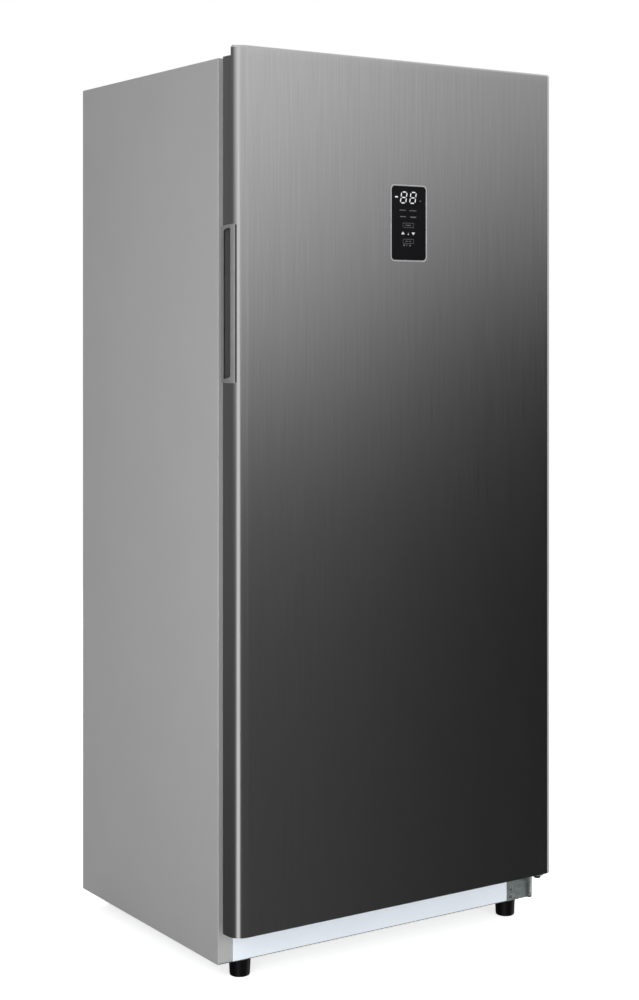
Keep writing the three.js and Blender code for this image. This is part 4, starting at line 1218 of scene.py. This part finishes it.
# %% Feet
for side in ("left", "right"):
    node = f"front_{side}_foot"
    centre, stud_top = centre_of(node).xy, span(node)[1].z
    cone = turned("cone", (*centre, 0), [
        (16, 0.6), (17, 0), (19.2, 0), (20.4, 0.7), (21, 2), (21.3, 4), (22.7, 31), (23, 33), (23, 34.6),
        (22.2, 35.6), (8, 35.6),
    ], 56)
    stud = threaded("stud", centre, 5, 2.4, 35.4, stud_top)
    finished(merge(f"levelling_foot_{side}", [cone, stud]), f"{side}_foot", black_polypropylene,
             "black_foot_plastic", node)

# %% Rollers and axles
for side in ("left", "right"):
    node, axle_node = f"rear_{side}_roller", f"{side}_roller_axle"
    wheel = turned("wheel", (0, 0, 0), [
        (6, -9.6), (11.2, -9.6), (11.8, -11), (13.8, -11), (14.8, -10), (15, -8.6), (15, 8.6), (14.8, 10),
        (13.8, 11), (11.8, 11), (11.2, 9.6), (6, 9.6),
    ], 48)
    carve(wheel, turned("bore", (0, 0, 0), [(4.5, -20), (4.5, 20)], 24))
    turn(wheel, 90, "Y")
    finished(moved_copy(wheel, f"roller_wheel_{side}", centre_of(node)), f"{side}_roller", grey_abs,
             "dark_grey_plastic", node)
    bpy.data.objects.remove(wheel)
    finished(soften(copy_of(axle_node, f"roller_rivet_{side}"), 0.5, 3), "cabinet", zinc_plate,
             "bright_steel", axle_node)
print("Pieces so far:", len(made))

# %% [markdown]
# ## Food space
# The liner is one sheet of polystyrene drawn into a mould, so every corner inside is rounded. It is made
# from the space that it encloses: a box with a step cut from its floor, rounded, opened in front and
# then thickened outwards. Its front rim lies flat against the cabinet's flange. The rim starts with
# the rounded corners of the opening, and its outer corners are then pressed flat until they are square.

# %% Liner
liner_low, liner_high = span("inner_liner")
liner_wall, foam_wall = 2, 65
liner_corner, step_corner = 16, 4.5
inside_x, inside_floor, inside_top = shell_high.x - foam_wall, 172, shell_high.z - foam_wall
inside_rear = shell_high.y - foam_wall + 0.2
step_front, step_top = 40, 362
shelf_levels = (640, 900, 1160, 1420)
shelf_front = span("shelf_1")[0].y


def square_corner(sheet, x, z):
    """Presses the rim's rounded corner flat to its two sides, so that they meet in a square one."""
    for axis, place, other in ((X, x, Z), (Z, z, X)):
        def near_side(edge):
            spot = middle_of(edge)
            gap = {X: abs(spot.x - x), Z: abs(spot.z - z)}
            return edge.is_boundary and max(gap.values()) < 1.5 * liner_corner and gap[axis] < gap[other]

        choose(sheet, "edges", near_side)
        flat, point = [1, 1, 1], [0, 0, 0]
        flat[axis], point[axis] = 0, place * MM
        bpy.ops.transform.resize(value=flat, center_override=point)


def liner_sheet():
    space = block("food_liner", (-inside_x, cabinet_front, inside_floor),
                  (inside_x, inside_rear, inside_top))
    step = block("step", (-500, step_front, 0), (500, 500, step_top))
    carve(space, step)

    def step_edge(edge):
        return along(edge, X) and at(edge, Y, step_front) and at(edge, Z, step_top)

    round_edges(space, lambda e: not at(e, Y, cabinet_front) and not step_edge(e), liner_corner, 6)
    round_edges(space, step_edge, step_corner, 5)
    remove(space, lambda f: at(f, Y, cabinet_front))
    choose(space, "edges", lambda e: e.is_boundary)
    bpy.ops.mesh.extrude_region_move()
    grow = (liner_high.x / inside_x, 1, (liner_high.z - liner_low.z) / (inside_top - inside_floor))
    middle = (inside_floor + inside_top) / 2
    bpy.ops.transform.resize(value=grow, center_override=(0, cabinet_front * MM, middle * MM))
    rise = (liner_low.z + liner_high.z) / 2 - middle
    bpy.ops.transform.translate(value=(0, 0, rise * MM))
    for side in (-1, 1):
        for height in (liner_low.z, liner_high.z):
            square_corner(space, side * liner_high.x, height)
    return modify(space, "SOLIDIFY", thickness=liner_wall * MM, offset=1)


def rails():
    """The moulded ledges under the shelves and the basket, on both walls."""
    ledges = []
    reach = inside_x - 8
    for side in (-1, 1):
        near, far = sorted((side * reach, side * (inside_x + 1)))
        for level in shelf_levels:
            ledges.append(block("ledge", (near, shelf_front + 6, level - 10), (far, 212, level - 0.3)))
        ledges.append(block("ledge", (near, shelf_front - 5, step_top - 12),
                            (far, step_front + 1, step_top)))
    return soften(merge("ledges", ledges), 2.4, 3)


liner = liner_sheet()
print("Liner:", len(liner.data.polygons), "faces")
liner = weld(liner, rails())
finished(liner, "cabinet", white_polystyrene, "white_moulded_plastic", "inner_liner")
print("Liner with its ledges:", len(liner.data.polygons), "faces")

# %% [markdown]
# The cover in front of the cooling coil is a moulded tray with its open side to the wall. Cold air
# leaves by the long slots above each shelf and comes back through the row of slots at its foot.

# %% Coil cover and lamp


def coil_cover():
    low, high = span("evaporator_cover")
    wall = 3
    cover = block("cold_air_cover", low, high)
    round_edges(cover, lambda e: at(e, Y, low.y), 5, 4)
    carve(cover, block("hollow", (low.x + wall, low.y + wall, low.z + wall),
                       (high.x - wall, high.y + overshoot, high.z - wall)))
    outlets = [(x, level, 55, 6) for level in (560, *(shelf + 190 for shelf in shelf_levels))
               for x in (-190, 0, 190)]
    returns = [(column * 50, step_top + 26, 15, 10) for column in range(-5, 6)]
    slots = []
    for x, z, half_width, half_height in outlets + returns:
        slots.append(block("slot", (x - half_width, low.y - overshoot, z - half_height),
                           (x + half_width, low.y + overshoot, z + half_height)))
        round_edges(slots[-1], lambda e: along(e, Y), 5, 4)
    return soften(carve(cover, merge("slots", slots)), 0.7, 2, 40)


finished(coil_cover(), "cabinet", white_polystyrene, "white_moulded_plastic", "evaporator_cover")
finished(soften(copy_of("interior_lamp", "ceiling_lamp_lens"), 1.5, 4), "cabinet", frosted_lens,
         "frosted_clear_plastic", "interior_lamp")

# %% [markdown]
# Each shelf is a sheet of toughened glass with ground edges. A moulded white strip grips its front
# and another, with a low wall that keeps food off the back, grips its rear. One shelf is made and copied.

# %% Shelves
low, high = span("shelf_1")
level, thickness = shelf_levels[0], 5
pane_front, pane_rear = low.y + 4, high.y - 2


def shelf_pane():
    pane = block("pane", (low.x, pane_front, level), (high.x, pane_rear, level + thickness))
    round_edges(pane, lambda e: along(e, Z), 6, 4)
    return soften(pane, 0.7, 2)


def shelf_strips():
    reach = high.x - 7.2
    front = block("front", (-reach, low.y, level - 8), (reach, low.y + 12, level + 8))
    rear = block("rear", (-reach, high.y - 9, level - 5), (reach, high.y, level + 12))
    round_edges(front, lambda e: along(e, X) and at(e, Y, low.y), 3.4, 5)
    round_edges(rear, lambda e: along(e, X) and at(e, Z, level + 12), 2.5, 4)
    groove = block("groove", (-500, pane_front, level), (500, pane_rear, level + thickness))
    twin = moved_copy(groove, "groove", (0, 0, 0))
    return soften(merge("strips", [carve(front, groove), carve(rear, twin)]), 0.6, 2)


pane, strips = shelf_pane(), shelf_strips()
for number, place in enumerate(shelf_levels, 1):
    rise = (0, 0, place - level)
    finished(moved_copy(pane, f"shelf_pane_{number}", rise), "cabinet", shelf_glass, "shelf_glass",
             f"shelf_{number}")
    finished(moved_copy(strips, f"shelf_strips_{number}", rise), "cabinet", white_polystyrene,
             "white_moulded_plastic")
bpy.data.objects.remove(pane)
bpy.data.objects.remove(strips)
print("Shelves:", len(shelf_levels))

# %% [markdown]
# The basket is welded from steel wire and dipped in epoxy. Thin wires run down one wall, across the
# bottom and up the other wall, both ways, and thicker ones go round it as hoops.

# %% Wire basket


def wire_basket():
    low, high = span("storage_basket")
    thin, thick, pitch = 1.5, 2.6, 26
    left, right = low.x + thick, high.x - thick
    front, rear = low.y + thick, high.y - thick
    bottom, top = low.z + thin, high.z - thick
    columns, rows = int((right - left) / pitch), int((rear - front) / pitch)
    lines = []
    for column in range(1, columns):
        x = left + column * (right - left) / columns
        lines.append(bent([(x, front, top), (x, front, bottom), (x, rear, bottom), (x, rear, top)], 10, 4))
    for row in range(1, rows):
        y = front + row * (rear - front) / rows
        lines.append(bent([(left, y, top), (left, y, bottom), (right, y, bottom), (right, y, top)], 10, 4))
    thin_wires = wire("thin_wires", lines, thin)
    hoops = []
    round_trip = ((0, front), (right, front), (right, rear), (left, rear), (left, front), (0, front))
    for height in (top, bottom + 62, bottom + 124):
        hoops.append(bent([(x, y, height) for x, y in round_trip], 14, 5)[:-1])
    rim = wire("rim", hoops[:1], thick, True, 12)
    rings = wire("rings", hoops[1:], thin + 0.4, True)
    return merge("wire_basket", [thin_wires, rim, rings])


finished(wire_basket(), "cabinet", epoxy_wire, "white_coated_wire", "storage_basket")
print("Basket:", len(made[-1].data.polygons), "faces")

# %% [markdown]
# ## The door's inside
# The door liner is drawn like the cabinet's: a flat sheet with one hollow ridge all round, which holds
# the bins and presses the cold air's path shut. The ridge is pulled out of the sheet, drawn in a
# little as it rises so that it leaves its mould, and rounded.

# %% Door liner
door_liner_low, door_liner_high = span("door_inner_liner")
ridge_x, ridge_bottom, ridge_top, ridge_width = inside_x - 14, inside_floor + 18, inside_top - 18, 28


def door_liner():
    low, high = door_liner_low, door_liner_high
    sheet_rear = door_rear - 0.2
    sheet = block("door_liner_sheet", low, (high.x, sheet_rear, high.z))
    remove(sheet, lambda f: not f.normal.y > 0.9)
    cut(sheet, X, -ridge_x, ridge_x, ridge_width - ridge_x, ridge_x - ridge_width)
    cut(sheet, Z, ridge_bottom, ridge_top, ridge_bottom + ridge_width, ridge_top - ridge_width)

    def on_ridge(face):
        spot = middle_of(face)
        outer = abs(spot.x) < ridge_x and within(spot.z, ridge_bottom, ridge_top)
        inner = (abs(spot.x) < ridge_x - ridge_width
                 and within(spot.z, ridge_bottom + ridge_width, ridge_top - ridge_width))
        return outer and not inner

    pull(sheet, on_ridge, (0, high.y - sheet_rear, 0))
    round_edges(sheet, lambda e: not e.is_boundary and e.calc_face_angle(0) > 1, 8, 5)
    return modify(sheet, "SOLIDIFY", thickness=liner_wall * MM, offset=-1)


finished(door_liner(), "door", white_polystyrene, "white_moulded_plastic", "door_inner_liner")
print("Door liner:", len(made[-1].data.polygons), "faces")

# %% [markdown]
# The seal is a vinyl hose with a magnet in it and a bellows that lets it follow the cabinet. A groove
# pushed in all round, inside and outside, gives it the fold of the bellows.

# %% Door seal


def bellows_seal():
    low, high = span("door_gasket")
    wide_part, fold = 20, (5.2, 8.2)
    seal = block("magnetic_seal", low, high)
    inner = block("inner", (low.x + wide_part, low.y - overshoot, low.z + wide_part),
                  (high.x - wide_part, high.y + overshoot, high.z - wide_part))
    round_edges(inner, lambda e: along(e, Y), 6, 4)
    carve(seal, inner)
    cut(seal, Y, low.y + fold[0], low.y + fold[1])
    choose(seal, "faces", lambda f: within(middle_of(f).y, low.y + fold[0], low.y + fold[1]))
    bpy.ops.mesh.extrude_region_shrink_fatten(TRANSFORM_OT_shrink_fatten={"value": -4 * MM})
    return soften(seal, 1, 3)


finished(bellows_seal(), "door", seal_vinyl, "grey_seal_vinyl", "door_gasket")

# %% [markdown]
# The bins are clear SAN, drawn with rounded corners and a thicker rim to lift them by. One is moulded
# and copied to each level.

# %% Door bins


def bin_shell():
    low, high = span("door_bin_1")
    rim, rim_slope, rim_height = 2, 1, 7
    tub = block("tub", (low.x + rim, low.y + rim, low.z),
                (high.x - rim, high.y - rim, high.z - rim_slope - rim_height))
    round_edges(tub, lambda e: along(e, Z), 14, 6)
    round_edges(tub, lambda e: at(e, Z, low.z), 9, 5)
    remove(tub, lambda f: f.normal.z > 0.9)
    choose(tub, "edges", lambda e: e.is_boundary)
    bpy.ops.mesh.extrude_region_move(TRANSFORM_OT_translate={"value": (0, 0, rim_slope * MM)})
    grow = ((high.x - low.x) / (high.x - low.x - 2 * rim), (high.y - low.y) / (high.y - low.y - 2 * rim), 1)
    bpy.ops.transform.resize(value=grow, center_override=(low + high) / 2 * MM)
    bpy.ops.mesh.extrude_region_move(TRANSFORM_OT_translate={"value": (0, 0, rim_height * MM)})
    choose(tub, "faces", lambda f: True)
    bpy.ops.mesh.normals_make_consistent(inside=False)
    modify(tub, "SOLIDIFY", thickness=2.2 * MM, offset=-1)
    return soften(tub, 0.5, 2, 50)


tub = bin_shell()
bin_floor = span("door_bin_1")[0].z
for number in range(1, 5):
    node = f"door_bin_{number}"
    rise = (0, 0, span(node)[0].z - bin_floor)
    finished(moved_copy(tub, f"clear_bin_{number}", rise), "door", clear_san, "clear_bin_plastic", node)
bpy.data.objects.remove(tub)
print("Bins: 4")

# %% [markdown]
# ## Machine space
# Behind the slotted cover stand the compressor and the condenser. The compressor is two drawn steel
# cups welded round the middle, so its outline has a seam, and it stands on a plate with rubber feet.

# %% Compressor
pot_low, pot_high = span("compressor")


def compressor_pot():
    centre_x, centre_y = -230, 225
    pot = turned("pot", (centre_x, centre_y, 0), [
        (30, 60), (58, 60), (68, 65), (74, 74), (75.5, 88), (76, 136), (78, 137), (78, 142), (76, 143),
        (75.5, 190), (73, 206), (66, 218), (54, 227), (38, 234), (20, 237.5), (6, 238),
    ], 72)
    plate = block("plate", (pot_low.x, centre_y - 62, 56), (pot_high.x - 38, centre_y + 62, 60.5))
    round_edges(plate, lambda e: along(e, Z), 10, 4)
    soften(plate, 1)
    box = block("terminal_box", (centre_x - 34, centre_y - 91, 96), (centre_x + 34, centre_y - 70, 158))
    soften(box, 4, 3)
    stubs = wire("stubs", [[(centre_x + 60, centre_y, 200), (pot_high.x, centre_y, 200)],
                           [(centre_x, centre_y - 60, 180), (centre_x, pot_low.y, 180)]], 4.4, False, 14)
    feet = []
    leg = turned("leg", (0, 0, 0), [(7, pot_low.z), (10, pot_low.z + 1), (10, 44), (8.4, 45), (8.4, 47),
                                    (10, 48), (10, 56)], 20)
    for side_x in (-88, 88):
        for side_y in (-50, 50):
            feet.append(moved_copy(leg, "foot", (centre_x + side_x, centre_y + side_y, 0)))
    bpy.data.objects.remove(leg)
    return merge("compressor_pot", [pot, plate, box, stubs, *feet])


finished(compressor_pot(), "cabinet", black_enamel, "black_enamelled_steel", "compressor")
print("Compressor:", len(made[-1].data.polygons), "faces")

# %% [markdown]
# The condenser is one tube folded to and fro, with thin upright wires spot-welded to both of its sides:
# they spread the heat to the air. The two refrigerant tubes follow the frame's routes.

# %% Condenser and tubes
coil_low, coil_high = span("condenser")
coil_y, coil_top, coil_left, coil_right = 160, 268, 120, 330


def condenser_coil():
    pitch, rows, radius = 24, 8, 4
    wire_pitch, wire_columns = 7.2, 28
    line = [(coil_left - 12, coil_y, coil_top)]
    ends = (coil_left - 11, coil_right + 11)
    for row in range(rows):
        level = coil_top - row * pitch
        near, far = ends if row % 2 == 0 else ends[::-1]
        if row:
            line.append((near, coil_y, level))
        line.append((far, coil_y, level) if row < rows - 1 else (coil_left, coil_y, level))
    tube = wire("tube", [bent(line, 11.5, 7)], radius, False, 12)
    fins = []
    for column in range(wire_columns):
        x = coil_left + 6 + column * wire_pitch
        for side in (-1, 1):
            y = coil_y + side * (radius + 0.8)
            fins.append([(x, y, coil_top - (rows - 1) * pitch - 6), (x, y, coil_top + 6)])
    wires = wire("wires", fins, 0.8, False, 6)
    bracket = block("bracket", (coil_left + 90, coil_y - 7, coil_low.z),
                    (coil_left + 94, coil_y + 7, coil_high.z))
    return merge("condenser_coil", [tube, wires, soften(bracket, 0.5)])


finished(condenser_coil(), "cabinet", drawn_copper, "copper_tube", "condenser")
print("Condenser:", len(made[-1].data.polygons), "faces")

# %% [markdown]
# ### Fans
# A fan blade is a thin plate that twists from its root to its tip. One blade is made flat, subdivided,
# tilted and twisted, and then copied round the hub.

# %% Fans


def fan_wheel(name, radius, hub_radius, depth, blades):
    """A fan on the Z axis with the back of its hub at the origin, in millimetres."""
    hub = turned("hub", (0, 0, 0), [(hub_radius - 3, 0), (hub_radius, 0.8), (hub_radius, depth - 4),
                                    (hub_radius - 1.2, depth - 1.4), (hub_radius - 4, depth)], 32)
    root = hub_radius - 3
    tip, half_blade = radius - 0.5, depth * 0.62
    tilt, twist = 40, 16
    blade = block("blade", (root, -half_blade, -0.9), (tip, half_blade, 0.9))
    choose(blade, "edges", lambda e: along(e, X))
    bpy.ops.mesh.subdivide(number_cuts=7)
    choose(blade, "faces", lambda face: True)
    bpy.ops.transform.resize(value=(1, 1.25, 1), center_override=(root * MM, 0, 0))
    round_edges(blade, lambda e: along(e, Z) and at(e, X, tip), 7, 4)
    turn(blade, tilt, "X")
    modify(blade, "SIMPLE_DEFORM", deform_method="TWIST", deform_axis="X", angle=-math.radians(twist))
    soften(blade, 0.5, 2, 50)
    wheel = [hub]
    for number in range(blades):
        twin = moved_copy(blade, "blade", (0, 0, depth / 2))
        wheel.append(turn(twin, number * 360 / blades, "Z"))
    bpy.data.objects.remove(blade)
    return merge(name, wheel)


for node, name, body, axis, sizes in (
    ("condenser_fan", "bay_fan_wheel", "cooling_fan", "Y", (63.5, 14, 20, 5)),
    ("evaporator_fan", "cold_fan_wheel", "freezer_fan", "X", (55.5, 12, 18, 5)),
):
    low, high = span(node)
    place = centre_of(node)
    if axis == "Y":
        place.x = low.x + 1
    else:
        place.y = high.y - 1
    wheel = turn(fan_wheel("wheel", *sizes), 90, axis)
    finished(moved_copy(wheel, name, place), body, grey_abs, "dark_grey_plastic", node)
    bpy.data.objects.remove(wheel)
print("Fan wheels: 2")

# %% [markdown]
# The rest of the machine space keeps its form from the frame, with its edges rounded as its making
# would leave them. The mains inlet also gets its three flat contacts.

# %% Motors, pan, box and inlet
for node, name, material, slot, width in (
    ("condenser_fan_motor", "bay_fan_motor", black_enamel, "black_enamelled_steel", 2),
    ("evaporator_fan_motor", "cold_fan_motor", black_enamel, "black_enamelled_steel", 1),
    ("drain_pan", "melt_water_pan", grey_abs, "dark_grey_plastic", 0.9),
    ("control_board_box", "electronics_box", white_polystyrene, "white_moulded_plastic", 2),
    ("machine_compartment_shroud", "bay_wall_sheet", zinc_sheet, "zinc_coated_steel", 0.4),
):
    finished(soften(copy_of(node, name), width, 3), "cabinet", material, slot, node)

middle, inlet_rear = centre_of("power_inlet"), span("power_inlet")[1].y
contacts = []
for across, rise in ((-6, -2.5), (6, -2.5), (0, 4)):
    contacts.append(block("contact", (middle.x + across - 1, inlet_rear - 14, middle.z + rise - 2.2),
                          (middle.x + across + 1, inlet_rear - 2, middle.z + rise + 2.2)))
finished(soften(merge("mains_contacts", contacts), 0.4), "cabinet", zinc_plate, "bright_steel")
finished(soften(copy_of("power_inlet", "mains_inlet_socket"), 0.8, 3), "cabinet", black_polypropylene,
         "black_moulded_plastic", "power_inlet")

dressed(drawn_copper, "suction_tube", "discharge_tube")
dressed(mill_aluminium, "evaporator", "defrost_heater")
print("Machine space is complete")

# %% [markdown]
# ## Sizes after dressing
# The sizes before and after dressing are gathered side by side, and the size after dressing is printed.

# %% Sizes and finish
visual_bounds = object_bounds()
sizes = {"cad": [list(corner) for corner in cad_bounds],
         "visual": [list(corner) for corner in visual_bounds]}
print("Pieces made:", len(made), "size", [round(v, 3) for v in visual_bounds[1] - visual_bounds[0]])
